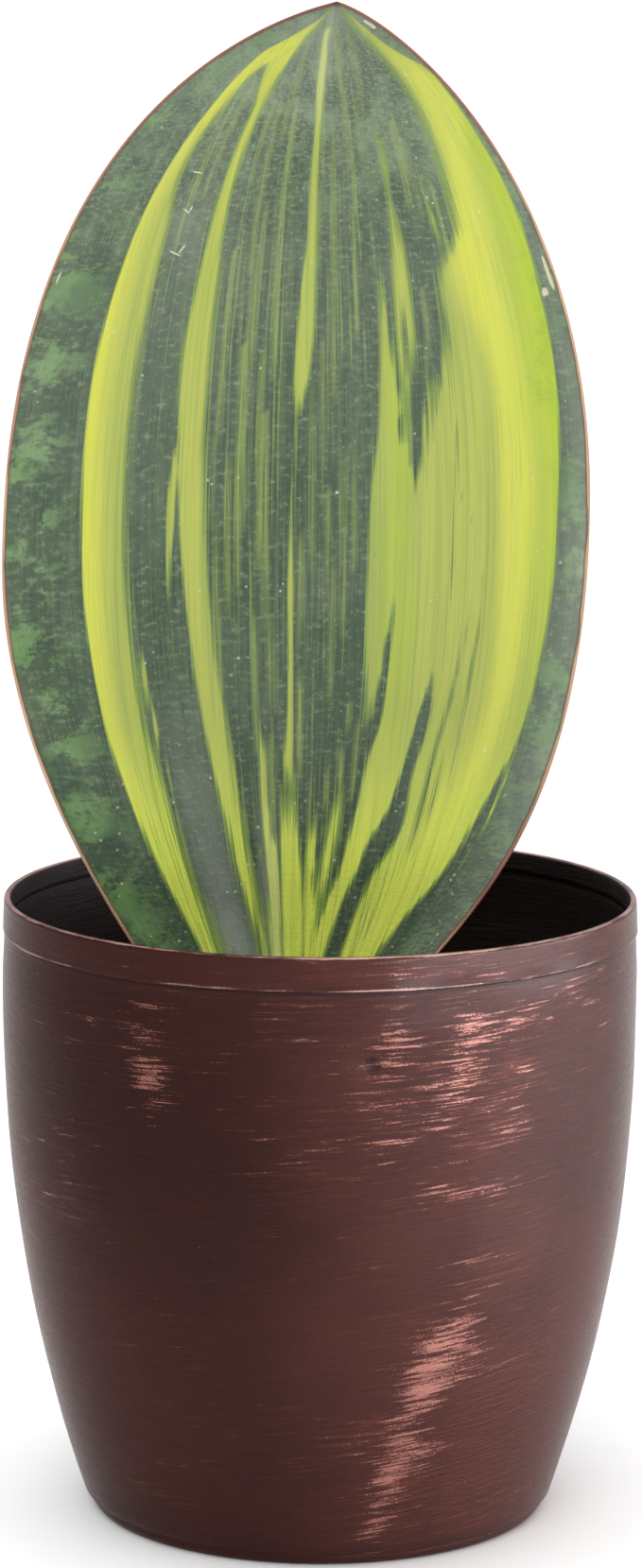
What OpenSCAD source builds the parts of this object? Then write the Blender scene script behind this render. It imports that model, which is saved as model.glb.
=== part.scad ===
// Snake plant in a copper pot: one broad whale-fin leaf on its rhizome and roots, in a plastic grow pot
// that stands loose inside a spun metal cover pot with an edging band crimped over its mouth.
// Millimetres. The origin is the centre of the cover pot's base, +Z is up, -Y is the front.

/* [Cover pot] */
// Outer radius of the cover pot at its widest
pot_r = 75.3; // [74:0.1:77]
// Height of the cover pot to the top of its rim
pot_h = 148.3; // [146:0.1:152]
// How far the wall draws in from its widest to its foot
pot_taper = 20.5; // [18:0.1:21]
// Height of the wall's widest ring
widest_z = 131; // [125:1:135]
// Power of the wall's curve below its widest ring
taper_power = 2.3; // [2:0.1:2.6]
// How far the wall draws in again from its widest to its mouth
neck_draw = 0.8; // [0.5:0.1:1]
// Radius of the corner between the base and the wall
foot_round = 2.8; // [2:0.1:4]
// Thickness of the cover pot's sheet metal
pot_sheet = 0.8; // [0.6:0.1:1]
// Height of the edging band around the mouth
band_h = 8.1; // [6.5:0.1:10]
// Thickness of the edging band's metal
band_t = 0.4; // [0.3:0.1:0.6]
// Height of the edging band's hidden inner leg
band_inner_h = 4.5; // [3:0.1:5]

/* [Grow pot] */
// Height of the plastic grow pot
liner_h = 98; // [94:1:102]
// Outer radius of the grow pot's wall at its foot
liner_foot_r = 45.5; // [42:0.5:47]
// Outer radius of the grow pot's wall at its mouth
liner_top_r = 62.5; // [60:0.5:64]
// Thickness of the grow pot's plastic
liner_wall = 0.9; // [0.7:0.1:1.2]
// Height of the grow pot's floor above its foot
liner_floor_z = 3; // [2:0.5:5]
// How far the grow pot's lip stands out
lip_out = 2.5; // [1.5:0.1:3]
// Height of the grow pot's lip
lip_h = 4; // [3:0.1:6]
// Number of drain holes in a ring, around one more in the centre
drain_count = 8; // [4:1:10]
// Radius of each drain hole
drain_r = 4; // [3:0.1:4.5]
// Radius of the ring of drain holes
drain_ring_r = 31; // [26:1:34]

/* [Potting mix] */
// Depth of the mix's edge below the grow pot's lip
headspace = 11.5; // [9:0.5:14]
// Height of the mound in the middle of the mix
mound_h = 2; // [1:0.5:3]
// Number of perlite granules and bark chips on the mix, taken together
topping_count = 40; // [24:1:48]

/* [Leaf] */
// Height of the leaf's tip above the ground
tip_z = 357.4; // [330:0.1:365]
// Sideways place of the leaf's tip
tip_x = 2.8; // [-4:0.1:8]
// Farthest reach of the leaf's left edge from the pot's axis
left_reach = 74.9; // [60:0.1:75]
// Height at which the left edge is widest
left_wide_z = 225.6; // [215:0.1:235]
// Farthest reach of the leaf's right edge from the pot's axis
right_reach = 62.5; // [50:0.1:70]
// Height at which the right edge is widest
right_wide_z = 242.1; // [230:0.1:250]
// Half the width of the leaf's stalk
stalk_half_w = 8.5; // [7:0.1:9]
// Thickness of the leaf's edge on the blade
edge_t = 0.9; // [0.7:0.1:1.2]
// Rows of faces along the leaf's blade
blade_rows = 40; // [30:1:48]
// Columns of faces across each side of the leaf
blade_cols = 12; // [10:2:16]

/* [Rhizome and roots] */
// Radius of the crown that the leaf grows from
crown_r = 12; // [11:0.5:13]
// Radius of the rhizome that runs sideways from the crown
rhizome_r = 8.5; // [7:0.5:9]
// Length of the rhizome from the crown's axis to its growing end
rhizome_len = 32; // [24:1:36]
// Radius of a root
root_r = 1.5; // [1:0.1:1.8]

/* [Hidden] */

// Cover pot
wall_steps = 26;
round_steps = 8;
foot_angles = [for (i = [0 : round_steps]) -90 + 90 * i / round_steps];
foot_centre_r = pot_r - pot_taper - foot_round;
band_low_z = pot_h - band_h;
lip_r = band_t + pot_sheet / 2;
wall_top_z = pot_h - lip_r;

// Grow pot and its mix
liner_z = pot_sheet;
liner_mouth_z = liner_z + liner_h;
floor_top_z = liner_z + liner_floor_z + liner_wall;
mix_edge_z = liner_mouth_z - headspace;
mound_steps = 8;

// Toppings lie on a sunflower spiral, and every fourth one is a chip
golden_angle = 137.508;
topping_margin = 5;
plant_clear_r = 17;
chip_every = 4;
chip_outline = [[5.2, 0.4], [2.6, 2.9], [-1.8, 3.3], [-5, 1.2], [-4.1, -2.2], [0.6, -3.1], [4.2, -2.3]];
chip_t = 1.8;

// Leaf: four cubic curves, each given by its end points and its pulls
stalk_x = -6.3;
stalk_y = 2.5;
stalk_z = 84;
leaf_base_z = 74;
leaf_tip = [tip_x, tip_z];
left_low = [[stalk_x - stalk_half_w, stalk_z], [stalk_x - stalk_half_w, stalk_z + 19.7],
            [-left_reach, left_wide_z - 66.7], [-left_reach, left_wide_z]];
left_high = [[-left_reach, left_wide_z], [-left_reach, left_wide_z + 96.3],
             leaf_tip + [-27.4, -6.7], leaf_tip];
right_low = [[stalk_x + stalk_half_w, stalk_z], [stalk_x + stalk_half_w, stalk_z + 51.2],
             [right_reach, right_wide_z - 111.6], [right_reach, right_wide_z]];
right_high = [[right_reach, right_wide_z], [right_reach, right_wide_z + 75.2],
              leaf_tip + [15.2, -4.3], leaf_tip];
stalk_rows = 3;
lean_back = 8;
tip_fade = 0.985;

// Scale leaves that wrap the stalk's foot
sheath_a = 10.2;
sheath_b = 8.4;
sheath_t = 1.5;
sheath_rows = 12;
sheath_cols = 12;

// Rhizome and roots
crown_low_z = 60;
rhizome_z = 65;
rhizome_az = 200;
ridge_gap = 7;
ridge_out = 0.5;
ridge_w = 1.2;
// Each root's bearing, start height, run out from the crown's axis, bend radius and lowest height
ROOTS = [[8, 66, 20, 12, 20], [42, 70, 30, 9, 34], [78, 64, 17, 14, 14], [112, 68, 27, 10, 26],
         [148, 65, 21, 12, 17], [252, 69, 26, 11, 30], [288, 65, 18, 13, 15], [325, 70, 29, 9, 24]];

function wall_r(z) = z < widest_z
    ? pot_r - pot_taper * pow(1 - z / widest_z, taper_power)
    : pot_r - neck_draw * (z - widest_z) / (pot_h - widest_z);

function liner_r(z) = liner_foot_r + (liner_top_r - liner_foot_r) * (z - liner_z) / liner_h;

function mix_z(r) = mix_edge_z + mound_h * pow(cos(90 * min(1, r / liner_foot_r)), 2);

function bezier(p, t) =
    pow(1 - t, 3) * p[0] + 3 * t * pow(1 - t, 2) * p[1] + 3 * t * t * (1 - t) * p[2] + pow(t, 3) * p[3];

// A point on the leaf's edge: v runs from 0 at the stalk's top, over 0.5 at the widest, to 1 at the tip
function edge_point(low, high, v) = v < 0.5 ? bezier(low, 2 * v) : bezier(high, 2 * v - 1);

// How far up the leaf a height is, from 0 at the stalk's top to 1 at the tip
function rise(z) = max(0, min(1, (z - stalk_z) / (tip_z - stalk_z)));

// The blade's bend, thickness and hollow: u runs from -1 at the left edge to 1 at the right
function mid_y(z) = stalk_y + lean_back * pow(rise(z), 2);
function blade_t(u, z) =
    (1.6 + 5.4 * pow(1 - rise(z), 3)) * (1 - pow(abs(u), 2.2)) + edge_t + 1.6 * pow(1 - rise(z), 8);
function hollow(half_w, z) = half_w * (0.12 + 0.25 * pow(1 - rise(z), 4));

// One closed ring of points around the leaf, front face first
function ring(a, b) = [
    for (side = [-1, 1], j = [0 : blade_cols])
        let (
            u = -side * (2 * j / blade_cols - 1),
            p = a * (1 - u) / 2 + b * (1 + u) / 2,
            half_w = (b[0] - a[0]) / 2,
            y = mid_y(p[1]) - hollow(half_w, p[1]) * u * u
        )
        [p[0], y + side * blade_t(u, p[1]) / 2, p[1]]
];

function stalk_ring(z) = ring([stalk_x - stalk_half_w, z], [stalk_x + stalk_half_w, z]);

// Faces of a skin over rings of n points each, closed by a cap at its foot and a point at its top
function skin_faces(n, rings) = concat(
    [[for (j = [0 : n - 1]) j]],
    [for (i = [0 : rings - 2], j = [0 : n - 1]) [i * n + j, (i + 1) * n + j, (i + 1) * n + (j + 1) % n]],
    [for (i = [0 : rings - 2], j = [0 : n - 1]) [i * n + j, (i + 1) * n + (j + 1) % n, i * n + (j + 1) % n]],
    [for (j = [0 : n - 1]) [(rings - 1) * n + j, rings * n, (rings - 1) * n + (j + 1) % n]]
);

module pot_body() {
    outer = concat(
        [[0, 0]],
        [for (a = foot_angles) [foot_centre_r + foot_round * cos(a), foot_round + foot_round * sin(a)]],
        [for (i = [1 : wall_steps])
            let (z = foot_round + (wall_top_z - foot_round) * i / wall_steps) [wall_r(z), z]]
    );
    inner = concat(
        [for (i = [wall_steps : -1 : 1])
            let (z = foot_round + (wall_top_z - foot_round) * i / wall_steps) [wall_r(z) - pot_sheet, z]],
        [for (i = [round_steps : -1 : 0])
            let (a = foot_angles[i], r = foot_round - pot_sheet)
            [foot_centre_r + r * cos(a), foot_round + r * sin(a)]],
        [[0, pot_sheet]]
    );
    color([0.36, 0.17, 0.14]) rotate_extrude($fn = 180) polygon(concat(outer, inner));
}

module rim_band() {
    mid_r = wall_r(wall_top_z) - pot_sheet / 2;
    color([0.42, 0.2, 0.17]) rotate_extrude($fn = 180) {
        // Outer leg, which follows the wall
        polygon([
            [wall_r(band_low_z), band_low_z], [wall_r(band_low_z) + band_t, band_low_z + band_t / 2],
            [mid_r + lip_r, wall_top_z], [mid_r + pot_sheet / 2, wall_top_z]
        ]);
        // Inner leg
        translate([mid_r - lip_r, wall_top_z - band_inner_h]) square([band_t, band_inner_h]);
        // Rounded lip over the sheet's raw edge
        intersection() {
            translate([mid_r, wall_top_z]) circle(r = lip_r, $fn = 32);
            translate([mid_r - lip_r, wall_top_z]) square([2 * lip_r, lip_r]);
        }
    }
}

module nursery_pot() {
    color([0.09, 0.09, 0.1]) difference() {
        rotate_extrude($fn = 120) {
            // Wall
            polygon([
                [liner_r(liner_z), liner_z], [liner_r(liner_mouth_z), liner_mouth_z],
                [liner_r(liner_mouth_z) - liner_wall, liner_mouth_z], [liner_r(liner_z) - liner_wall, liner_z]
            ]);
            // Lip turned out and down
            translate([liner_top_r - liner_wall, liner_mouth_z - liner_wall])
                square([liner_wall + lip_out, liner_wall]);
            translate([liner_top_r + lip_out - liner_wall, liner_mouth_z - lip_h])
                square([liner_wall, lip_h]);
            // Floor
            translate([0, liner_z + liner_floor_z]) square([liner_foot_r, liner_wall]);
        }
        drain_holes();
    }
}

module drain_holes() {
    for (i = [0 : drain_count - 1])
        rotate(360 * i / drain_count) translate([drain_ring_r, 0, 0]) drain_hole();
    drain_hole();
}

module drain_hole() {
    translate([0, 0, liner_z]) cylinder(r = drain_r, h = liner_floor_z + 3 * liner_wall, $fn = 48);
}

module potting_mix() {
    color([0.2, 0.14, 0.1]) difference() {
        rotate_extrude($fn = 120) polygon(concat(
            [[0, floor_top_z], [liner_r(floor_top_z) - liner_wall, floor_top_z]],
            [[liner_r(mix_edge_z) - liner_wall, mix_edge_z]],
            [for (i = [mound_steps : -1 : 0]) let (r = liner_foot_r * i / mound_steps) [r, mix_z(r)]]
        ));
        perlite();
        bark_chips();
        rhizome();
        for (i = [0 : len(ROOTS) - 1]) root(i);
        plant_socket();
    }
}

// The room that the stalk and its scale leaves take up in the mix
module plant_socket() {
    translate([stalk_x, stalk_y, leaf_base_z]) cylinder(r = crown_r, h = liner_h, $fn = 60);
}

// Places its child at each topping's spot, for chips or for granules
module toppings(chips) {
    for (i = [0 : topping_count - 1])
        let (
            r = sqrt((i + 0.5) / topping_count) * (liner_r(mix_edge_z) - topping_margin),
            a = i * golden_angle,
            p = [r * cos(a), r * sin(a)],
            from_plant = norm(p - [stalk_x, stalk_y])
        )
        if (from_plant > plant_clear_r && (i % chip_every == 1) == chips) {
            $spot = i;
            translate([p[0], p[1], mix_z(r)]) children();
        }
}

module perlite() {
    color([0.93, 0.92, 0.88]) toppings(false) sphere(r = 1.3 + 0.8 * abs(sin($spot * 77)), $fn = 24);
}

module bark_chips() {
    color([0.33, 0.2, 0.13]) toppings(true)
        rotate([8 * sin($spot * 50), 8 * cos($spot * 50), $spot * 63])
            translate([0, 0, -chip_t / 2]) linear_extrude(chip_t) polygon(chip_outline);
}

module leaf() {
    stalk = [for (i = [0 : stalk_rows - 1])
        each stalk_ring(leaf_base_z + (stalk_z - leaf_base_z) * i / stalk_rows)];
    blade = [for (i = [0 : blade_rows])
        let (v = tip_fade * i / blade_rows)
        each ring(edge_point(left_low, left_high, v), edge_point(right_low, right_high, v))];
    tip = [tip_x, mid_y(tip_z), tip_z];
    faces = skin_faces(2 * (blade_cols + 1), stalk_rows + blade_rows + 1);
    color([0.3, 0.45, 0.22]) polyhedron(concat(stalk, blade, [tip]), faces);
}

// A pointed scale leaf that stands on the crown and wraps one side of the stalk. Its tip bends out by bend.
module sheath(bearing, tall, wrap, bend) {
    points = [for (i = [0 : sheath_rows - 1], side = [0, 1], j = [0 : sheath_cols])
        let (
            t = i / sheath_rows,
            a = bearing + wrap * pow(1 - t, 0.6) * (2 * j / sheath_cols - 1) * (side == 0 ? 1 : -1),
            out = side * sheath_t * (1 - 0.6 * t) + bend * t * t
        )
        [stalk_x + (sheath_a + out) * cos(a), stalk_y + (sheath_b + out) * sin(a), leaf_base_z + tall * t]];
    top = [stalk_x + (sheath_a + bend) * cos(bearing), stalk_y + (sheath_b + bend) * sin(bearing),
           leaf_base_z + tall];
    polyhedron(concat(points, [top]), skin_faces(2 * (sheath_cols + 1), sheath_rows));
}

module sheath_front() {
    color([0.47, 0.42, 0.25]) sheath(bearing = 262, tall = 44, wrap = 68, bend = 4);
}

module sheath_back() {
    color([0.42, 0.4, 0.24]) sheath(bearing = 86, tall = 33, wrap = 72, bend = 3);
}

module rhizome() {
    color([0.78, 0.46, 0.2]) {
        translate([stalk_x, stalk_y, crown_low_z])
            cylinder(r = crown_r, h = leaf_base_z - crown_low_z, $fn = 60);
        translate([stalk_x, stalk_y, rhizome_z]) rotate([0, 90, rhizome_az]) {
            cylinder(r = rhizome_r, h = rhizome_len, $fn = 48);
            translate([0, 0, rhizome_len]) sphere(r = rhizome_r, $fn = 48);
            // Scars of old scale leaves
            for (x = [crown_r + ridge_gap / 2 : ridge_gap : rhizome_len])
                translate([0, 0, x]) cylinder(r = rhizome_r + ridge_out, h = ridge_w, $fn = 48);
        }
    }
}

// Runs out from the crown, bends down and ends in a round tip
module root(i) {
    bearing = ROOTS[i][0];
    start_z = ROOTS[i][1];
    run = ROOTS[i][2];
    bend_r = ROOTS[i][3];
    end_z = ROOTS[i][4];
    color([0.85, 0.75, 0.55]) difference() {
        translate([stalk_x, stalk_y, 0]) rotate(bearing) {
            translate([0, 0, start_z]) rotate([0, 90, 0]) cylinder(r = root_r, h = run, $fn = 24);
            translate([run, 0, start_z - bend_r]) rotate([90, 0, 0])
                rotate_extrude(angle = 90, $fn = 48) translate([bend_r, 0]) circle(r = root_r, $fn = 24);
            translate([run + bend_r, 0, end_z]) cylinder(r = root_r, h = start_z - bend_r - end_z, $fn = 24);
            translate([run + bend_r, 0, end_z]) sphere(r = root_r, $fn = 24);
        }
        translate([stalk_x, stalk_y, crown_low_z])
            cylinder(r = crown_r, h = leaf_base_z - crown_low_z, $fn = 60);
    }
}

pot_body();
rim_band();
nursery_pot();
potting_mix();
perlite();
bark_chips();
leaf();
sheath_front();
sheath_back();
rhizome();
for (i = [0 : len(ROOTS) - 1])
    root(i);
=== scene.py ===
"""The looks of the snake plant in a copper pot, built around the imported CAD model, in metres.

The leaf, scale leaves, cover pot, edging band, potting mix, granules and chips are rebuilt here as fine
meshes in the space that their CAD nodes hold, and loose crumbs are added on the mix. The grow pot, the
rhizome and the roots are the CAD nodes with finished materials.
"""

import bpy
import numpy as np
from mathutils import Matrix, Vector


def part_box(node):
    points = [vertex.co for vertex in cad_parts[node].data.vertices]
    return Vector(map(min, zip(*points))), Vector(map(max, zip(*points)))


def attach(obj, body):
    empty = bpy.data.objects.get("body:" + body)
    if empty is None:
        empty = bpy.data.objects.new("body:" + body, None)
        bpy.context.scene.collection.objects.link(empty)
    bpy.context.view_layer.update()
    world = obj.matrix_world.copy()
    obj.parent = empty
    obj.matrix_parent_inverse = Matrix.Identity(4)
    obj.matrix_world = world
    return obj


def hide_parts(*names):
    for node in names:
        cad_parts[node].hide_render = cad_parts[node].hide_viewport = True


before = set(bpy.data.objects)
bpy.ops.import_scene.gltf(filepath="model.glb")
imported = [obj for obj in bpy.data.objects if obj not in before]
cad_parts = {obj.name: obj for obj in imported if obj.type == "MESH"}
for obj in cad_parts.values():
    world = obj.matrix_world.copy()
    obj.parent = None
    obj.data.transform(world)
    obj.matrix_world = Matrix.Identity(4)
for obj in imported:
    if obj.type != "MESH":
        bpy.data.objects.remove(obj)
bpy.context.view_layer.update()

MM = 0.001
DEG = np.pi / 180


# ---------------------------------------------------------------- node trees


class Tree:
    """Builds one material. Each method that makes a node returns its output socket."""

    def __init__(self, name):
        self.material = bpy.data.materials.new(name)
        self.material.use_nodes = True
        self.tree = self.material.node_tree
        self.shader = self.tree.nodes["Principled BSDF"]
        self.place = self.node("ShaderNodeTexCoord", out="Object")

    def node(self, kind, inputs=(), out=0, **settings):
        made = self.tree.nodes.new(kind)
        for name, value in settings.items():
            setattr(made, name, value)
        for key, value in dict(inputs).items():
            self.feed(made.inputs[key], value)
        return made.outputs[out]

    def feed(self, socket, value):
        if isinstance(value, bpy.types.NodeSocket):
            self.tree.links.new(value, socket)
        elif hasattr(value, "__len__") and socket.type == "RGBA":
            socket.default_value = (*value[:3], 1)
        else:
            socket.default_value = value

    def attribute(self, name, out="Fac"):
        return self.node("ShaderNodeAttribute", out=out, attribute_name=name)

    def math(self, operation, a, b=0.0):
        return self.node("ShaderNodeMath", {0: a, 1: b}, operation=operation)

    def add(self, *values):
        total = values[0]
        for value in values[1:]:
            total = self.math("ADD", total, value)
        return total

    def times(self, *values):
        total = values[0]
        for value in values[1:]:
            total = self.math("MULTIPLY", total, value)
        return total

    def step(self, value, low, high, to_low=0.0, to_high=1.0):
        """A smooth step: to_low below low, to_high above high."""
        return self.node(
            "ShaderNodeMapRange",
            {"Value": value, 1: low, 2: high, 3: to_low, 4: to_high},
            interpolation_type="SMOOTHSTEP",
        )

    def stretch(self, vector, scale):
        return self.node("ShaderNodeVectorMath", {0: vector, 1: scale}, operation="MULTIPLY")

    def noise(self, vector, scale=1.0, detail=2.0, rough=0.5, bend=0.0):
        """Noise about 0, mostly from -1 to 1."""
        raw = self.node(
            "ShaderNodeTexNoise",
            {"Vector": vector, "Scale": scale, "Detail": detail, "Roughness": rough, "Distortion": bend},
        )
        return self.node("ShaderNodeMapRange", {"Value": raw, 1: 0.25, 2: 0.75, 3: -1.0, 4: 1.0}, clamp=False)

    def mix(self, share, a, b):
        return self.node("ShaderNodeMixRGB", {"Fac": share, "Color1": a, "Color2": b})

    def bump(self, height, depth):
        return self.node("ShaderNodeBump", {"Height": height, "Distance": depth, "Strength": 1.0})

    def finish(self, colour, rough, height, depth, **inputs):
        return self.shade(base_color=colour, roughness=rough, normal=self.bump(height, depth), **inputs)

    def shade(self, **inputs):
        sockets = {socket.name.lower().replace(" ", "_"): socket for socket in self.shader.inputs}
        for name, value in inputs.items():
            self.feed(sockets[name], value)
        return self.material


def srgb(red, green, blue):
    """A colour given in 0 to 255 as the eye sees it, as the linear numbers that shaders take."""
    return tuple(((c / 255 + 0.055) / 1.055) ** 2.4 for c in (red, green, blue))


# ---------------------------------------------------------------- meshes


def make_piece(name, points, faces, material):
    mesh = bpy.data.meshes.new(name)
    mesh.from_pydata([tuple(p) for p in np.asarray(points) * MM], [], [tuple(map(int, f)) for f in faces])
    mesh.validate()
    mesh.shade_smooth()
    mesh.materials.append(material)
    piece = bpy.data.objects.new(name, mesh)
    bpy.context.scene.collection.objects.link(piece)
    return piece


def add_field(piece, name, values, kind="FLOAT"):
    attribute = piece.data.attributes.new(name, kind, "POINT")
    slot = "vector" if kind == "FLOAT_VECTOR" else "value"
    attribute.data.foreach_set(slot, np.asarray(values, np.float32).ravel())


def finish_piece(piece, slot, *nodes):
    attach(piece, "root")
    if nodes:
        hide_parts(*nodes)
    return piece


def coat_node(node, material):
    """Gives a CAD node, whose shape stays as it is, its material."""
    node.data.materials.clear()
    node.data.materials.append(material)


def box_mm(node):
    low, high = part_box(node)
    return np.array(low) / MM, np.array(high) / MM


def tube_faces(rings, around):
    """Faces between closed rings of points, with the first ring capped."""
    i = np.arange(rings - 1)[:, None] * around
    j = np.arange(around)[None, :]
    k = (j + 1) % around
    faces = np.stack([i + j, i + k, i + around + k, i + around + j], -1).reshape(-1, 4).tolist()
    return faces + [list(range(around))[::-1]]


def lathe(radii, heights, segments):
    """Points and faces of a turned shape, from (rows, segments) arrays. Where the first row lies on the axis,
    so does the last, and each is fanned to one point. Otherwise the rows close into a ring."""
    rows = radii.shape[0]
    angle = np.arange(segments) * 2 * np.pi / segments
    points = np.stack([radii * np.sin(angle), -radii * np.cos(angle), heights], -1).reshape(-1, 3)
    on_axis = radii[0].max() < 1e-6
    i = np.arange(rows if not on_axis else rows - 1)[:, None]
    j = np.arange(segments)[None, :]
    k = (j + 1) % segments
    low, high = i % rows * segments, (i + 1) % rows * segments
    faces = np.stack([low + j, low + k, high + k, high + j], -1).reshape(-1, 4)
    if not on_axis:
        return points, faces.tolist()
    faces = [f for f in faces.tolist() if f[0] >= segments and f[2] < (rows - 1) * segments]
    faces += [[0, segments + (n + 1) % segments, segments + n] for n in range(segments)][::-1]
    last, top = (rows - 2) * segments, (rows - 1) * segments
    faces += [[last + n, last + (n + 1) % segments, top] for n in range(segments)]
    return points, faces


def curve_through(v, rows):
    """Smooth values at v through rows of (v, value, value...). Flat beyond the ends."""
    at, values = rows[:, 0], rows[:, 1:]
    slopes = np.gradient(values, at, axis=0)
    v = np.clip(v, at[0], at[-1])
    n = np.clip(np.searchsorted(at, v) - 1, 0, len(at) - 2)
    gap = (at[n + 1] - at[n])[..., None]
    t = (v[..., None] - at[n][..., None]) / gap
    a, b, sa, sb = values[n], values[n + 1], slopes[n] * gap, slopes[n + 1] * gap
    return a + sa * t + (3 * (b - a) - 2 * sa - sb) * t**2 + (2 * (a - b) + sa + sb) * t**3


# ---------------------------------------------------------------- leaf shape

leaf_low, leaf_high = box_mm("leaf")
LEFT_REACH, RIGHT_REACH = -leaf_low[0], leaf_high[0]
LEAF_BASE_Z, TIP_Z = leaf_low[2], leaf_high[2]
LEFT_WIDE_Z, RIGHT_WIDE_Z = 225.6, 242.1
STALK_X, STALK_Y, STALK_Z, STALK_HALF_W = -6.3, 2.5, 84, 8.5
LEAN_BACK = 8
TIP = np.array([2.8, TIP_Z])
STALK_ENDS = [(STALK_X - STALK_HALF_W, STALK_Z), (STALK_X + STALK_HALF_W, STALK_Z)]
# Each edge is two cubic curves, from the stalk to the widest place and on to the tip
EDGES = [
    (
        [STALK_ENDS[0], (STALK_ENDS[0][0], STALK_Z + 19.7), (-LEFT_REACH, LEFT_WIDE_Z - 66.7),
         (-LEFT_REACH, LEFT_WIDE_Z)],
        [(-LEFT_REACH, LEFT_WIDE_Z), (-LEFT_REACH, LEFT_WIDE_Z + 96.3), TIP + (-27.4, -6.7), TIP],
    ),
    (
        [STALK_ENDS[1], (STALK_ENDS[1][0], STALK_Z + 51.2), (RIGHT_REACH, RIGHT_WIDE_Z - 111.6),
         (RIGHT_REACH, RIGHT_WIDE_Z)],
        [(RIGHT_REACH, RIGHT_WIDE_Z), (RIGHT_REACH, RIGHT_WIDE_Z + 75.2), TIP + (15.2, -4.3), TIP],
    ),
]


def bezier(pulls, t):
    a, b, c, d = np.array(pulls, float)
    t = np.asarray(t)[..., None]
    return (1 - t) ** 3 * a + 3 * t * (1 - t) ** 2 * b + 3 * t**2 * (1 - t) * c + t**3 * d


def edge_points(side, v):
    """The (x, z) of an edge at v: 0 at the stalk's top, 0.5 at the widest place and 1 at the tip.
    Below 0 it runs straight down, v in mm."""
    low, high = EDGES[side]
    lower, upper = bezier(low, np.clip(2 * v, 0, 1)), bezier(high, np.clip(2 * v - 1, 0, 1))
    at = np.where((v < 0.5)[..., None], lower, upper)
    at[..., 1] += np.minimum(v, 0)
    return at


def rise(z):
    return np.clip((z - STALK_Z) / (TIP_Z - STALK_Z), 0, 1)


def leaf_surface(u, v):
    """Middle surface, half thickness and half width at (u, v)."""
    left, right = edge_points(0, v), edge_points(1, v)
    at = left * ((1 - u) / 2)[..., None] + right * ((1 + u) / 2)[..., None]
    half_w = (right[..., 0] - left[..., 0]) / 2
    up = rise(at[..., 1])
    hollow = half_w * (0.12 + 0.25 * (1 - up) ** 4)
    y = STALK_Y + LEAN_BACK * up**2 - hollow * u**2
    wave = 0.7 * np.sin(9 * v + 1.5 * u) * u**2 + 0.5 * np.sin(17 * v + 2) * np.abs(u) ** 3 * np.sign(u)
    y = y + wave * np.minimum(1, half_w / 30)
    thick = (1.6 + 5.4 * (1 - up) ** 3) * (1 - np.abs(u) ** 2.2) + 0.9 + 1.6 * (1 - up) ** 8
    return np.stack([at[..., 0], y, at[..., 1]], -1), thick / 2, half_w


# ---------------------------------------------------------------- leaf pattern
# A band is its edges' softness in mm (left, right) and rows of (v, left u, right u, level), in hundredths
# and, for the level, tenths. The leaf is solid yellow at level 10, streaky near 0 and green at -10.

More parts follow.
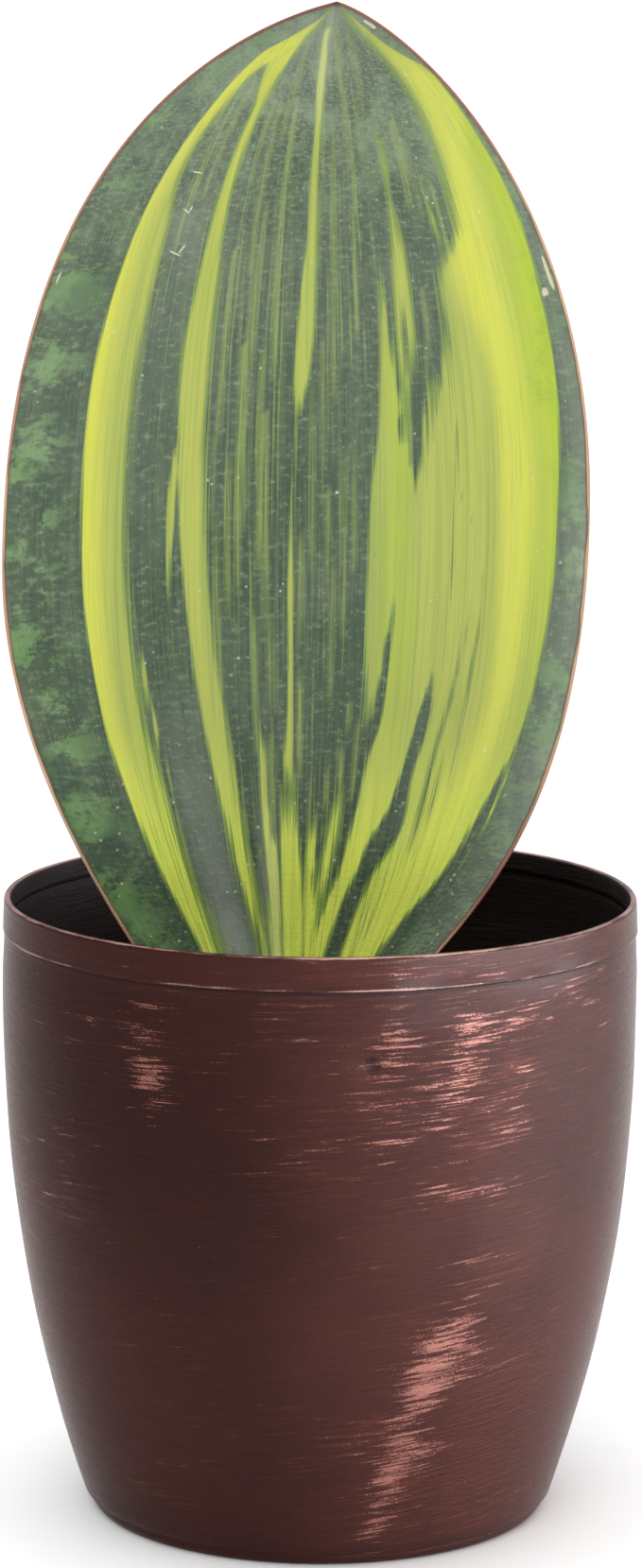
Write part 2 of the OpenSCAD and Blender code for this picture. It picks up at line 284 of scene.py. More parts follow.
BANDS = [
    # Left band
    ((0.9, 3.4), [
        (0, -50, -36, 9), (25, -61, -47.5, 8), (30, -65.5, -50.5, 8), (35, -69, -53, 8),
        (40, -71, -56, 9), (45, -72, -57.5, 10), (50, -73, -58.5, 10), (60, -73.5, -58.5, 10),
        (65, -72, -56.5, 9), (68, -71, -57.5, 9), (71, -69.5, -60, 10), (78, -64.5, -56, 10),
        (84, -60, -43, 10), (86, -57.5, -27, 10), (89, -40, -17, 9.5), (92, -24, -5, 8), (95, -12, 10, 6),
        (100, -15, 30, 5),
    ]),
    # Second band
    ((1.4, 2.2), [
        (0, -27, -14, 8), (25, -24, -16.5, 7), (30, -28.5, -20, 8), (35, -31.5, -22.8, 8.5),
        (40, -34.5, -25, 8.5), (45, -37, -28.5, 9), (50, -39.5, -31.5, 10), (60, -42, -32, 9),
        (65, -40, -32, 9), (70, -39, -32.8, 8), (75, -37.5, -31, 8), (79, -37, -28.5, 8),
        (82, -41, -27, 9), (85, -44, -24, 10), (90, -28, -14, 6),
    ]),
    # Middle band and the line it runs down into
    ((0.9, 1.2), [
        (55, -0.5, 0.6, 3), (57, -1.5, 3.2, 8), (60, -0.5, 5.5, 9), (64, 0.8, 6.2, 8), (66, 2.2, 6.6, 8),
        (72, 3, 7, 8), (77, 3.6, 8.5, 7), (80, 2.5, 9.5, 6), (85, 2, 12, 5.5), (89, 0, 14, 4),
        (93, 0, 25, 1),
    ]),
    ((0.6, 0.6), [
        (36, -5.5, 0.2, 8), (40, -3.6, -0.8, 8), (45, -3, -1.2, 8), (50, -2.2, -0.6, 6),
        (56, -1.2, 0.4, 4),
    ]),
    # The fan at the foot
    ((1.2, 0.4), [
        (0, -20, -8, 9), (25, -15, -7.8, 9), (31, -13.8, -7.8, 8), (35, -15, -10.5, 4),
        (40, -15, -12.5, 3), (46, -14.5, -12.5, -2),
    ]),
    ((0.4, 1), [(0, -8, 10, 9), (25, -7.4, 6, 9), (30, -7.4, 4, 8), (33, -7, 2, 8), (36, -5.5, 0.2, 8)]),
    ((1, 1), [(0, 0, 20, 8), (25, 4, 12.5, 8), (29, 4.5, 11, 7), (33, 5.5, 11, 5), (36, 8, 10, 0)]),
    ((1, 1.4), [(20, 8, 14, 5), (27, 9, 16, 5), (31, 12, 19, 5), (34.5, 15, 21.5, 3), (38, 19, 22, -3)]),
    # Right of the middle: the inner branch, and the loose streaks on its left
    ((1, 1), [
        (0, 5, 20, 9), (25, 13.5, 23.5, 9), (28, 18.2, 27, 10), (30, 21.6, 30.5, 10), (33, 24.2, 35, 10),
        (35, 26.2, 40, 9), (38.5, 29, 45, 9), (40, 31.4, 47, 8), (43.5, 33.2, 52, 8), (47, 34.5, 56, 6),
        (50, 35, 56, 5.5), (52, 37, 58, 4.5), (54, 41, 58, 3), (57, 45, 60, -0.5), (60, 48, 60, -4),
    ]),
    ((1.2, 1), [
        (39, 22.5, 27, -1), (42, 25, 31, 3), (45, 24, 33, 4), (48, 24.8, 36, 8), (51, 25.6, 40, 8),
        (55, 28.3, 37, 6), (58, 29.2, 35, 5), (61, 29.7, 34, 3.5), (66, 30.5, 33, -1), (71, 31, 32.5, -5),
    ]),
    ((2, 2), [
        (52, 36, 40, 6), (56, 36.5, 40, 5), (60, 34.5, 43.5, 4), (64, 35.5, 43.5, 5.5),
        (67, 36.5, 42.5, 5), (70, 37, 41, 4.5), (73, 36, 42.5, 3), (77, 37, 41, 1), (82, 38.5, 40, -2),
    ]),
    # Big right band: its solid part, and the streaky part along its left
    ((5, 1.2), [
        (0, 33, 55, 10), (25, 37, 61.5, 10), (30, 43, 72.2, 10), (35, 53, 78.5, 10), (40, 60, 84.6, 10),
        (45, 60, 87.4, 10), (50, 58, 89, 10), (56, 54, 90.8, 10), (60, 55, 91.8, 10),
        (64, 55.6, 92.2, 10), (66, 62, 93, 10), (68, 68, 94.2, 10),
    ]),
    ((5.5, 1.2), [
        (60, 60, 91.5, 6), (66, 65, 93, 10), (70, 66.5, 94.2, 10), (75, 67.5, 95, 10),
        (80, 67.5, 95.7, 10), (83.5, 65, 94.5, 10), (85.5, 62, 84, 10), (88, 57, 74, 10), (91, 48, 68, 9),
        (95, 35, 62, 6), (100, 30, 70, 4),
    ]),
    ((1, 1), [
        (0, 20, 50, 7), (25, 33, 50, 6), (30, 38.5, 60, 6), (34, 47, 65, 5), (37, 46, 65, 4),
        (40, 49, 65, 4.5), (44, 49, 65, 5), (50, 45, 65, 6.5), (54, 46.5, 65, 5), (57, 50, 65, 3),
        (62, 53, 62, 0),
    ]),
    # Slivers beside the bands
    ((0.5, 0.5), [(46.5, -44, -43, 5), (50, -44.5, -42.2, 7), (53, -44, -40.5, 6), (56, -41, -40, 5)]),
    ((0.5, 0.5), [
        (35.5, -50.5, -50, 2), (40, -53, -51.2, 7), (44, -54.8, -53.2, 6), (47.5, -55.6, -55, 3),
    ]),
    ((0.8, 0.8), [(65.5, 54.8, 60, 3), (69, 54.3, 57.2, 3.5), (74, 54.2, 56, 0)]),
    ((0.4, 0.4), [(30, 78.5, 80, 1), (35, 82, 83.5, 3), (40, 85, 85.8, 3)]),
    # Streaky green ground
    ((6, 4), [(33, -25, 30, -4.5), (45, -25, 25, -4.5), (60, -32, 30, -4), (80, -30, 30, -5)]),
    ((3, 3), [(32, 3, 22, -1), (36, 3, 24, -3), (42, 5, 22, -5)]),
    ((3, 3), [(50, -60, -42, -7), (60, -60, -42, -5), (72, -60, -38, -5), (80, -56, -36, -7)]),
    ((2, 2), [(30, -20, -14, -1), (36, -16, -5, 0), (42, -16, -6, -2)]),
]
# Green slits cut into the bands, in the same form, where level 10 cuts right through
SLITS = [
    ((0.9, 0.7), [
        (0, 14, 30, 10), (25, 23.6, 32.6, 10), (28, 27.2, 35, 10), (30, 30.6, 38, 10), (32, 34.1, 43, 10),
        (33.5, 36.5, 46.2, 10), (34.3, 39.5, 45.5, 9), (35, 40.1, 42.4, 10), (37, 42.2, 45.5, 10),
        (40, 44.9, 49.4, 10), (42, 47.5, 50, 10), (43.5, 49.4, 50, 8),
    ]),
    ((0.7, 0.7), [
        (51, 41.1, 41.5, 8), (53, 40.2, 42.8, 10), (55, 40.4, 43.5, 10), (58, 43, 45.5, 10),
        (60, 44, 50, 10), (66, 44, 53, 10),
    ]),
    ((0.5, 0.5), [(57, 38.6, 39.2, 5), (59, 38.2, 39.4, 8), (61.5, 38.8, 39.4, 7)]),
    ((0.5, 0.5), [(52, 34.2, 34.8, 7), (54.5, 35, 36.2, 8), (57, 36.8, 37.6, 6)]),
    ((0.5, 0.5), [(58, 33.6, 34.2, 6), (60, 33.2, 34.5, 8), (63, 33.4, 34.4, 6)]),
    ((0.6, 0.6), [(39, 28.6, 30, 10), (42, 30, 32.2, 10), (45, 32.2, 33.8, 10), (46.8, 33.8, 34.4, 8)]),
    ((0.5, 0.5), [(29.5, 8.9, 9.1, 6), (30.5, 9.6, 10.6, 9), (33, 10.8, 12.5, 10), (36, 11, 15, 10)]),
    ((0.4, 0.4), [(31.5, 6, 6.4, 6), (34, 6, 7.5, 9), (36, 6, 8.5, 10)]),
    ((0.6, 0.6), [(28.5, 18, 18.6, 7), (31, 19.5, 21.5, 10), (33, 21.6, 23.2, 10), (37, 23.8, 26, 10)]),
    ((0.3, 0.3), [(20, -8, -7.4, 2), (27, -8, -7.4, 4), (33, -8, -7.2, 7), (37, -7.5, -6, 10)]),
    ((0.5, 0.5), [
        (28.5, -18.8, -18.4, 7), (30, -19.4, -17.8, 10), (33, -21.2, -15.5, 10), (36, -22.6, -15.5, 10),
    ]),
    ((2, 2), [(20, 10, 12, 2), (25, 11.5, 13, 4.5), (28, 13, 16.5, 5), (30, 16, 18, 3)]),
    ((1.6, 1.6), [(33, 53, 54.5, 4), (38, 53, 55, 5), (43, 57, 59, 4.5), (46, 60, 61, 3)]),
    ((1.4, 1.4), [(38, 60, 61, 3), (43, 62, 63.5, 4.5), (47, 64, 65, 3), (52, 54, 55, 3)]),
    ((1.2, 1.2), [(47, 53, 54, 3), (51, 54, 55, 4.5), (55, 55, 56, 3.5)]),
]
# Thin dashes in the green: (low u, low v, high u, high v) in hundredths, half width in mm, strength
DASHES = [
    (0.8, 35.5, 2.9, 45, 0.6, 1), (2.4, 44, 2, 50, 0.5, 0.7), (5.2, 48, 5, 58, 0.7, 0.6),
    (-15, 38, -15, 47, 0.6, 0.9), (-8, 40, -8.5, 47, 0.7, 0.8), (-10, 43, -11, 56, 0.6, 0.7),
    (-6.5, 46, -6, 62, 0.5, 0.7), (-12.5, 48, -13, 60, 0.4, 0.7), (-20.5, 46, -20, 60, 0.5, 0.8),
    (-18, 50, -18.5, 66, 0.4, 0.6), (-27, 42, -28.5, 56, 0.6, 0.8), (-27.5, 54, -27, 66, 0.5, 0.8),
    (-23, 45, -24, 55, 0.4, 0.6), (-24.5, 58, -24, 68, 0.5, 0.7), (-10, 56, -8.5, 80, 0.9, 0.9),
    (-4, 60, -5, 72, 0.5, 0.5), (-16, 58, -16, 70, 0.5, 0.7), (-20, 64, -19, 80, 0.8, 0.6),
    (8, 48, 9, 60, 0.5, 0.6), (12, 40, 13.5, 50, 0.5, 0.6), (13, 56, 14, 78, 0.8, 0.6),
    (16.5, 34.5, 20.5, 42, 0.5, 0.9), (11.6, 34, 14, 39, 0.5, 0.7), (23, 35, 24, 41, 0.5, 0.6),
    (21.5, 60, 22.5, 70, 0.7, 0.7), (20, 48, 21, 60, 0.4, 0.5), (24, 68, 22, 82, 0.9, 0.6),
    (48, 68, 48.5, 77, 0.9, 0.6), (46, 56, 47.5, 63, 0.6, 0.7), (52, 68, 50, 78, 0.7, 0.5),
    (-56, 48, -56.5, 64, 0.5, 0.7), (-52, 66, -50, 80, 0.8, 0.6), (-46, 70, -44, 82, 0.9, 0.6),
    (60, 64, 59, 72, 0.6, 0.7), (30, 70, 29, 82, 0.6, 0.5), (7, 64, 9, 76, 0.5, 0.5),
    (-14, 74, -12, 88, 1, 0.5), (20, 80, 22, 92, 1.2, 0.5), (34, 78, 36, 90, 1, 0.4),
    (-26, 70, -23, 82, 0.6, 0.6), (16, 44, 17, 56, 0.4, 0.5), (10, 44, 11, 52, 0.4, 0.5),
]
# Where yellow is bright and clean, in the form of the bands
VIVID = [
    ((4, 4), [(0, 30, 60, 5), (24, 40, 58, 6), (32, 52, 70, 6), (38, 60, 74, 0)]),
    ((1, 4), [
        (20, -60, -56, 9), (30, -66, -60, 10), (40, -72, -66, 10), (50, -74, -66, 10), (60, -74, -68, 10),
        (75, -68, -60, 8), (84, -60, -40, 10), (88, -50, -20, 10), (93, -30, 0, 0),
    ]),
    ((5, 4), [
        (20, 46, 56, 0), (30, 56, 66, 8), (35, 63, 72, 10), (40, 69, 77, 10), (50, 70, 81, 10),
        (58, 68, 80, 10), (64, 60, 80, 8), (72, 70, 82, 10), (82, 74, 95, 10), (87, 68, 78, 4),
    ]),
    ((3, 3), [
        (30, -26, -24, 0), (50, -37, -34, 1), (70, -37, -34, 6), (80, -36, -31, 9), (87, -40, -22, 10),
    ]),
    ((3, 3), [(24, 18, 20, 2), (30, 24, 28, 8), (36, 31, 36, 4)]),
]
LIME = [
    ((3, 3), [(0, -30, 30, 5), (24, -20, 30, 5), (30, -6, 22, 4), (37, 0, 20, 2)]),
    ((9, 3), [
        (20, 30, 70, 6), (25, 50, 66, 7), (30, 68, 76, 10), (36, 76, 82, 9), (42, 81, 88, 8),
        (50, 79, 92, 9), (56, 76, 95, 10), (66, 79, 96, 10), (74, 83, 97, 9), (82, 92, 98, 3),
    ]),
    ((1, 1), [(20, -56, -48, 8), (30, -60, -50, 5), (42, -60, -55, 2), (60, -61, -58, -2)]),
    ((3, 3), [(36, 24, 40, 0), (42, 26, 44, 1), (50, 28, 42, 1), (60, 30, 42, 4)]),
]
# Pale streaks in the yellow and green; the last band, over the tip, is painted sheen
PALE_AND_SHEEN = [
    ((3, 1.5), [(20, -16, -10, 10), (26, -14, -9, 10), (32, -13, -9, 8), (36, -13, -10, -6)]),
    ((2, 2), [(76, 3, 9, -4), (82, 2, 11, 6), (90, 0, 20, 10), (97, -10, 30, 10)]),
    ((4, 4), [(86, -20, 56, -8), (92, -30, 60, 1), (99, -50, 80, 4)]),
]
# Greyer, paler green: a waxy bloom at the foot, greyer along the left and right margins, and over the
# upper half a painted sheen that grows towards the tip
BLOOM_AND_SHEEN = [
    ((4, 4), [(48, -62, -40, -10), (60, -62, -40, -6), (70, -60, -38, -6), (80, -54, -34, -8)]),
    ((3, 3), [(20, -44, -24, 10), (26, -47, -28, 8), (31, -48, -30, 1), (40, -50, -36, -6)]),
    ((4, 4), [
        (50, -130, 80, -10), (62, -130, 80, -8.5), (76, -130, 80, -7), (86, -130, 130, -5),
        (100, -130, 130, 0),
    ]),
    ((6, 4), [
        (0, 60, 130, -3), (30, 84, 130, -3), (40, 88, 130, 0), (50, 93, 130, 1), (62, 96, 130, 0),
        (75, 97, 130, -4),
    ]),
]
MARGIN = [
    ((8, 5), [
        (0, -130, -60, 10), (30, -130, -76, 10), (60, -130, -80, 10), (90, -130, -66, 10),
        (100, -130, -40, 10),
    ]),
    ((3, 8), [(0, 65, 130, 6), (30, 80, 130, 7), (50, 91, 130, 9), (100, 95, 130, 9)]),
]
BAND_UNITS = (100, 100, 100, 10)
BAND_END = 9  # a band fades over this many mm at its ends
LEAF_LENGTH = 270


def band_field(u, v, half_w, soft, rows):
    """A band's field, from -1 outside its soft edges up to its level inside."""
    rows = np.array(rows) / BAND_UNITS
    left, right, level = np.moveaxis(curve_through(v, rows), -1, 0)
    inside = np.minimum((u - left) * half_w / soft[0], (right - u) * half_w / soft[1])
    ends = np.minimum(v - rows[0, 0], rows[-1, 0] - v) * LEAF_LENGTH / BAND_END
    inside = np.clip(np.minimum(inside, ends), -1, 1)
    return -1 + (inside + 1) / 2 * (level + 1)


def highest(u, v, half_w, bands):
    return np.max([band_field(u, v, half_w, soft, rows) for soft, rows in bands], axis=0)


def dash_field(u, v, half_w, dash):
    low_u, low_v, high_u, high_v = np.array(dash[:4]) / 100
    width, level = dash[4:]
    t = (v - low_v) / (high_v - low_v)
    across = np.abs(u - low_u - (high_u - low_u) * t) * half_w
    reach = width * np.sqrt(np.clip(4 * t * (1 - t), 0, 1)) + 1e-6
    return np.where((t > 0) & (t < 1), np.clip(1.5 - 1.3 * across / reach, 0, 1), 0) * level


def leaf_fields(u, v, half_w):
    yellow = np.minimum(highest(u, v, half_w, BANDS), -highest(u, v, half_w, SLITS))
    fields = {"yellow": yellow, "dash": np.max([dash_field(u, v, half_w, dash) for dash in DASHES], axis=0)}
    tables = {"vivid": VIVID, "lime": LIME, "pale": PALE_AND_SHEEN, "bloom_and_sheen": BLOOM_AND_SHEEN, "margin": MARGIN}
    for name, bands in tables.items():
        fields[name] = np.clip(highest(u, v, half_w, bands) / 2 + 0.5, 0, 1)
    return fields


# Pale scars on the leaf's edges: centre (x, z), size and slant
SCARS = [
    ((52.2, 295.4), (0.4, 4.4), 20), ((51.5, 291.0), (0.7, 1.2), 20), ((10.4, 352.2), (0.4, 1.8), 56),
    ((-61.5, 294.0), (0.3, 1.5), -22), ((-62.6, 292.3), (0.25, 0.8), -70), ((59.4, 277.5), (0.3, 1.2), 14),
]

# White scratches in the skin: centre (x, z), half length and half width, and slant
SCRATCHES = [
    ((-34.6, 299.2), (1.7, 0.25), 25), ((-33.0, 300.3), (1.3, 0.22), -50), ((-31.9, 309.0), (1.1, 0.22), 35),
    ((-30.9, 309.6), (0.8, 0.2), -60), ((-29.5, 318.0), (1.5, 0.2), 10), ((3.4, 243.5), (0.4, 0.35), 0),
]

LAST_V = 0.992  # the last row of points, just under the tip
EDGE_THIN = 0.12  # of the leaf's thickness is left at its very edge
LINE_AT, LINE_WIDTHS = (0.4, 0.7, 1), (1.25, 0.9, 0.8)  # the coloured edge line: v and mm
TIP_TONE_R = 3  # mm of the tip are browned
LEAF_GREEN = srgb(54, 76, 51)
LEAF_GREY_GREEN = srgb(76, 93, 71)
YELLOW_DULL = srgb(168, 176, 80)
YELLOW_VIVID = srgb(196, 200, 72)
LIME_TONE = srgb(168, 190, 34)


def scar_field(x, z):
    total = np.zeros(x.shape)
    for (cx, cz), (wide, tall), slant in SCARS:
        dx, dz = x - cx, z - cz
        across = dx * np.cos(slant * DEG) + dz * np.sin(slant * DEG)
        along = -dx * np.sin(slant * DEG) + dz * np.cos(slant * DEG)
        total = np.maximum(total, np.exp(-((across / wide) ** 4) - (along / tall) ** 4))
    return total


def edge_distance(x, z):
    """Distance in mm from each place to the leaf's outline."""
    v = np.linspace(0, 1, 500)
    outline = np.concatenate([edge_points(0, v), edge_points(1, v)])
    flat = np.stack([x.ravel(), z.ravel()], -1)
    near = [np.sqrt(((p[:, None] - outline[None]) ** 2).sum(-1)).min(1) for p in np.array_split(flat, 60)]
    return np.concatenate(near).reshape(x.shape)


def leaf_material():
    t = Tree("leaf_skin")
    grain = t.attribute("grain", out="Vector")
    yellow, dash, vivid, lime = (t.attribute(name) for name in ("yellow", "dash", "vivid", "lime"))
    pale, bloom_and_sheen, margin = t.attribute("pale"), t.attribute("bloom_and_sheen"), t.attribute("margin")
    along = t.node("ShaderNodeSeparateXYZ", {0: grain}, out=1)
    high_up, foot = t.step(along, 0.6, 0.8), t.step(along, 0.42, 0.3)
    edge, scar, back, tip = t.attribute("edge"), t.attribute("scar"), t.attribute("back"), t.attribute("tip")

    broad = t.noise(t.stretch(grain, (11, 2.2, 1)), detail=2)
    middle = t.noise(t.stretch(grain, (34, 3.2, 1)), detail=3)
    fine = t.noise(t.stretch(grain, (105, 7, 1)), detail=3, rough=0.6)
    hair = t.noise(t.stretch(grain, (260, 26, 1)), detail=2)
    weft = t.noise(t.stretch(grain, (26, 330, 1)), detail=3, rough=0.6)
    cloud = t.noise(t.place, 38, detail=5, rough=0.6)
    speckle = t.noise(t.place, 1500, detail=2, rough=0.7)
    smudge = t.noise(t.place, 105, detail=5, rough=0.7)

    # Where the leaf is yellow: the bands, feathered along the fibres
    feather = t.add(t.times(middle, 0.2), t.times(fine, 0.32), t.times(hair, 0.14))
    feather = t.times(feather, t.add(t.times(high_up, -0.45), t.times(foot, 0.8), 1.0))
    share = t.step(t.add(yellow, feather), t.step(foot, 0, 1, -0.36, -0.6), t.step(foot, 0, 1, 0.4, 0.8))

    # Ground: deep grey-green, with paler streaks along the fibres and clouds
    ground = t.mix(t.step(cloud, -0.7, 0.8), LEAF_GREEN, LEAF_GREY_GREEN)
    ground = t.mix(t.step(broad, -0.2, 0.9, 0, 0.4), ground, srgb(98, 110, 88))
    near = t.add(t.step(yellow, -1.0, -0.35, 0.16, 0.75), t.times(foot, 0.15))
    thin = t.times(t.step(t.add(fine, t.times(middle, 0.6), t.times(hair, 0.3)), 0.25, 1.0), near)
    ground = t.mix(thin, ground, srgb(122, 142, 72))
    ground = t.mix(t.step(t.add(hair, t.times(fine, 0.7)), 0, -0.9, 0, 0.8), ground, srgb(42, 60, 44))
    ground = t.mix(t.step(t.add(weft, t.times(smudge, 0.8)), 0, -1.0, 0, 0.5), ground, srgb(44, 64, 48))
    # Painted sheen: the ground made paler towards the tip, broken by smudges
    ground = t.mix(t.times(high_up, t.step(smudge, -0.3, 0.6, 0, 0.75)), ground, srgb(118, 138, 106))
    ground = t.mix(t.times(dash, t.step(t.add(fine, hair), -0.9, 0.5, 0.35, 0.9)), ground, srgb(142, 160, 76))
    scratch = t.step(t.add(weft, t.times(speckle, 0.6), t.times(high_up, 0.3)), 0.05, 1.2, 0, 0.6)
    ground = t.mix(scratch, ground, srgb(134, 150, 114))

    # Lighter blotches in the green margins, drawn out across the leaf
    wide = t.noise(t.stretch(t.place, (78, 78, 105)), detail=6, rough=0.7, bend=0.5)
    blotch = t.times(t.step(t.add(wide, t.times(weft, 0.2)), -0.14, 0.36), margin)
    blotch_colour = t.mix(t.step(cloud, -0.5, 0.7), srgb(94, 134, 72), srgb(118, 148, 98))
    ground = t.mix(t.times(blotch, 0.85), ground, blotch_colour)
    deep = t.times(t.step(t.noise(t.place, 60, detail=3), 0.0, 0.8), margin, 0.75)
    ground = t.mix(deep, ground, srgb(44, 72, 54))

    # Yellow: dull and streaky, or vivid, limed at the foot and the right edge, pale in places
    dull = t.mix(t.step(t.add(fine, middle), -0.6, 1.0), YELLOW_DULL, srgb(146, 160, 76))
    bright = t.mix(t.step(t.add(broad, t.times(middle, 0.7)), -0.4, 1.2), YELLOW_VIVID, srgb(184, 190, 88))
    colour = t.mix(t.step(t.add(vivid, t.times(middle, 0.16), t.times(broad, 0.12)), 0.2, 0.8), dull, bright)
    limed = t.step(t.add(lime, t.times(weft, 0.05), t.times(fine, 0.1), t.times(cloud, 0.12)), 0.25, 1.05)
    colour = t.mix(t.times(limed, 0.8), colour, LIME_TONE)
    moss = t.step(t.add(lime, t.times(weft, 0.14), t.times(wide, 0.3)), 0.8, 1.3, 0, 0.5)
    colour = t.mix(t.times(moss, t.math("SUBTRACT", 1.0, foot)), colour, srgb(104, 142, 48))
    # Painted light: the yellow at the foot brightened against the shade that falls there
    painted_foot_light = t.times(foot, t.step(t.add(middle, fine), -0.9, 0.6, 0.5, 0.95))
    colour = t.mix(painted_foot_light, colour, srgb(220, 234, 92))
    strands = t.times(t.step(t.add(fine, t.times(hair, 0.6)), 0.2, 1.1), t.step(foot, 0, 1, 0.45, 0.6))
    colour = t.mix(strands, colour, srgb(138, 158, 66))
    # Pale in places; near the tip this is painted sheen
    colour = t.mix(t.times(pale, 0.75), colour, srgb(196, 204, 150))
    # Greys the ground: pale streaks and bloom, and over the upper half painted sheen
    greyed = t.times(t.math("MAXIMUM", pale, bloom_and_sheen), t.step(cloud, -1.2, 1.0, 0.4, 0.8))
    ground = t.mix(greyed, ground, srgb(168, 174, 162))
    skin = t.mix(share, ground, colour)
    # A vivid green fringe where yellow passes into green
    fringe = t.times(t.step(share, 0.02, 0.4), t.step(share, 0.95, 0.5), t.step(foot, 0, 1, 0.45, 0.7))
    skin = t.mix(fringe, skin, srgb(96, 134, 58))

    # Dust specks and pinpricks
    cell = t.node("ShaderNodeTexVoronoi", {"Vector": t.place, "Scale": 420.0}, out="Distance")
    pick = t.noise(t.place, 130, detail=1)
    speck = t.times(t.step(cell, 0.18, 0.1), t.step(t.add(pick, t.times(foot, 0.45)), 0.5, 0.85))
    skin = t.mix(t.times(speck, 0.6), skin, srgb(196, 202, 188))
    for (x, z), (long, wide), slant in SCRATCHES:
        near = t.node(
            "ShaderNodeMapping",
            {0: t.place, 1: (x * MM, 0, z * MM), 2: (0, slant * DEG, 0), 3: (long * MM, 1, wide * MM)},
            vector_type="TEXTURE",
        )
        away = t.node("ShaderNodeVectorMath", {0: near}, out=1, operation="LENGTH")
        skin = t.mix(t.step(t.add(away, t.times(speckle, 0.4)), 1.1, 0.5, 0, 0.85), skin, srgb(206, 208, 192))
    pit_cell = t.node("ShaderNodeTexVoronoi", {"Vector": t.place, "Scale": 150.0}, out="Distance")
    pit = t.times(t.step(pit_cell, 0.07, 0.03), t.step(cloud, 0.4, 0.8))
    skin = t.mix(t.times(pit, 0.6), skin, srgb(70, 80, 40))

    # Edge: a tan outer line, redder in places, and a thin brown line inside it
    wander = t.noise(t.place, 160, detail=2)
    line = t.add(edge, t.times(wander, 0.1))
    reddened = t.add(t.noise(t.place, 16, detail=2), high_up)
    outer = t.mix(t.step(reddened, -0.3, 1.1), srgb(196, 160, 128), srgb(150, 84, 70))
    skin = t.mix(t.step(line, 1.15, 0.75, 0, 0.75), skin, srgb(92, 66, 44))
    skin = t.mix(t.step(line, 0.72, 0.5), skin, outer)
    skin = t.mix(t.times(t.step(t.add(scar, t.times(fine, 0.2)), 0.35, 0.6), 0.85), skin, srgb(206, 200, 172))
    skin = t.mix(t.step(t.add(tip, t.times(wander, 0.1)), 0.4, 0.9), skin, srgb(92, 62, 42))
    # The back is paler and greyer
    skin = t.mix(t.times(back, 0.22), skin, srgb(130, 146, 112))

    ribs = t.add(t.times(fine, 0.5), t.times(hair, 0.3), t.times(middle, 0.8))
    height = t.add(ribs, t.times(weft, 0.35), t.times(scar, -1.5))
    rough = t.add(0.42, t.times(fine, 0.03), t.times(cloud, 0.04), t.times(speck, 0.1))
    return t.finish(skin, rough, height, 0.00009, specular_ior_level=0.5)


def build_leaf():
    columns, rows, stalk_rows = 150, 260, 8
    even = np.linspace(-1, 1, columns + 1)
    across = 0.35 * even + 0.65 * np.sin(even * np.pi / 2)
    stalk = np.linspace(LEAF_BASE_Z - STALK_Z, 0, stalk_rows, endpoint=False)
    along = np.concatenate([stalk, np.linspace(0, LAST_V, rows)])
    u, v = np.meshgrid(across, along)
    middle, half_t, half_w = leaf_surface(u, v)
    # The edge is rounded over its last millimetre
    to_edge = (1 - np.abs(u)) * np.maximum(half_w, 1)
    round_r = half_t.min(axis=1, keepdims=True)
    bow = np.sqrt(np.clip(1 - (1 - np.clip(to_edge / round_r, 0, 1)) ** 2, 0, 1))
    half_t = half_t * (EDGE_THIN + (1 - EDGE_THIN) * bow)
    shift = np.stack([np.zeros_like(half_t), half_t, np.zeros_like(half_t)], -1)
    front, rear = middle - shift, (middle + shift)[:, ::-1]
    rings = np.concatenate([front, rear], axis=1)
    around = rings.shape[1]
    tip = np.array([[TIP[0], STALK_Y + LEAN_BACK, TIP_Z]])
    points = np.concatenate([rings.reshape(-1, 3), tip])
    faces = tube_faces(len(rings), around)
    last = (len(rings) - 1) * around
    faces += [[last + n, last + (n + 1) % around, len(points) - 1] for n in range(around)]
    leaf = make_piece("leaf_blade", points, faces, leaf_material())

    distance = edge_distance(middle[..., 0], middle[..., 2])
    distance = np.where(v <= 0, to_edge, distance)
    to_tip = np.hypot(middle[..., 0] - TIP[0], middle[..., 2] - TIP_Z)
    fields = leaf_fields(u, np.maximum(v, 0), half_w)
    fields["edge"] = distance / np.interp(v, LINE_AT, LINE_WIDTHS)
    fields["scar"] = scar_field(middle[..., 0], middle[..., 2])
    fields["tip"] = np.clip(1 - to_tip / TIP_TONE_R, 0, 1)
    for name, values in fields.items():
        both = np.concatenate([values, values[:, ::-1]], axis=1)
        add_field(leaf, name, np.append(both, values[-1, columns // 2]))
    side = np.concatenate([np.zeros_like(u), np.ones_like(u)], axis=1)
    add_field(leaf, "back", np.append(side, 0))
    grain = np.stack([np.concatenate([u, u[:, ::-1]], axis=1), np.concatenate([v, v], axis=1), side * 3], -1)
    add_field(leaf, "grain", np.concatenate([grain.reshape(-1, 3), [[0, 1, 0]]]), "FLOAT_VECTOR")
    return finish_piece(leaf, "leaf", "leaf")


# ---------------------------------------------------------------- cover pot

band_low, band_high = box_mm("rim_band")
POT_R, POT_H = box_mm("pot_body")[1][0], band_high[2]
POT_TAPER, WIDEST_Z, TAPER_POWER, NECK_DRAW = 20.5, 131, 2.3, 0.8
FOOT_ROUND, POT_SHEET, BAND_T = 2.8, 0.8, 0.4
LIP_R = BAND_T + POT_SHEET / 2
WALL_TOP_Z = POT_H - LIP_R
BAND_LOW_Z = band_low[2]
POT_SEGMENTS = 480
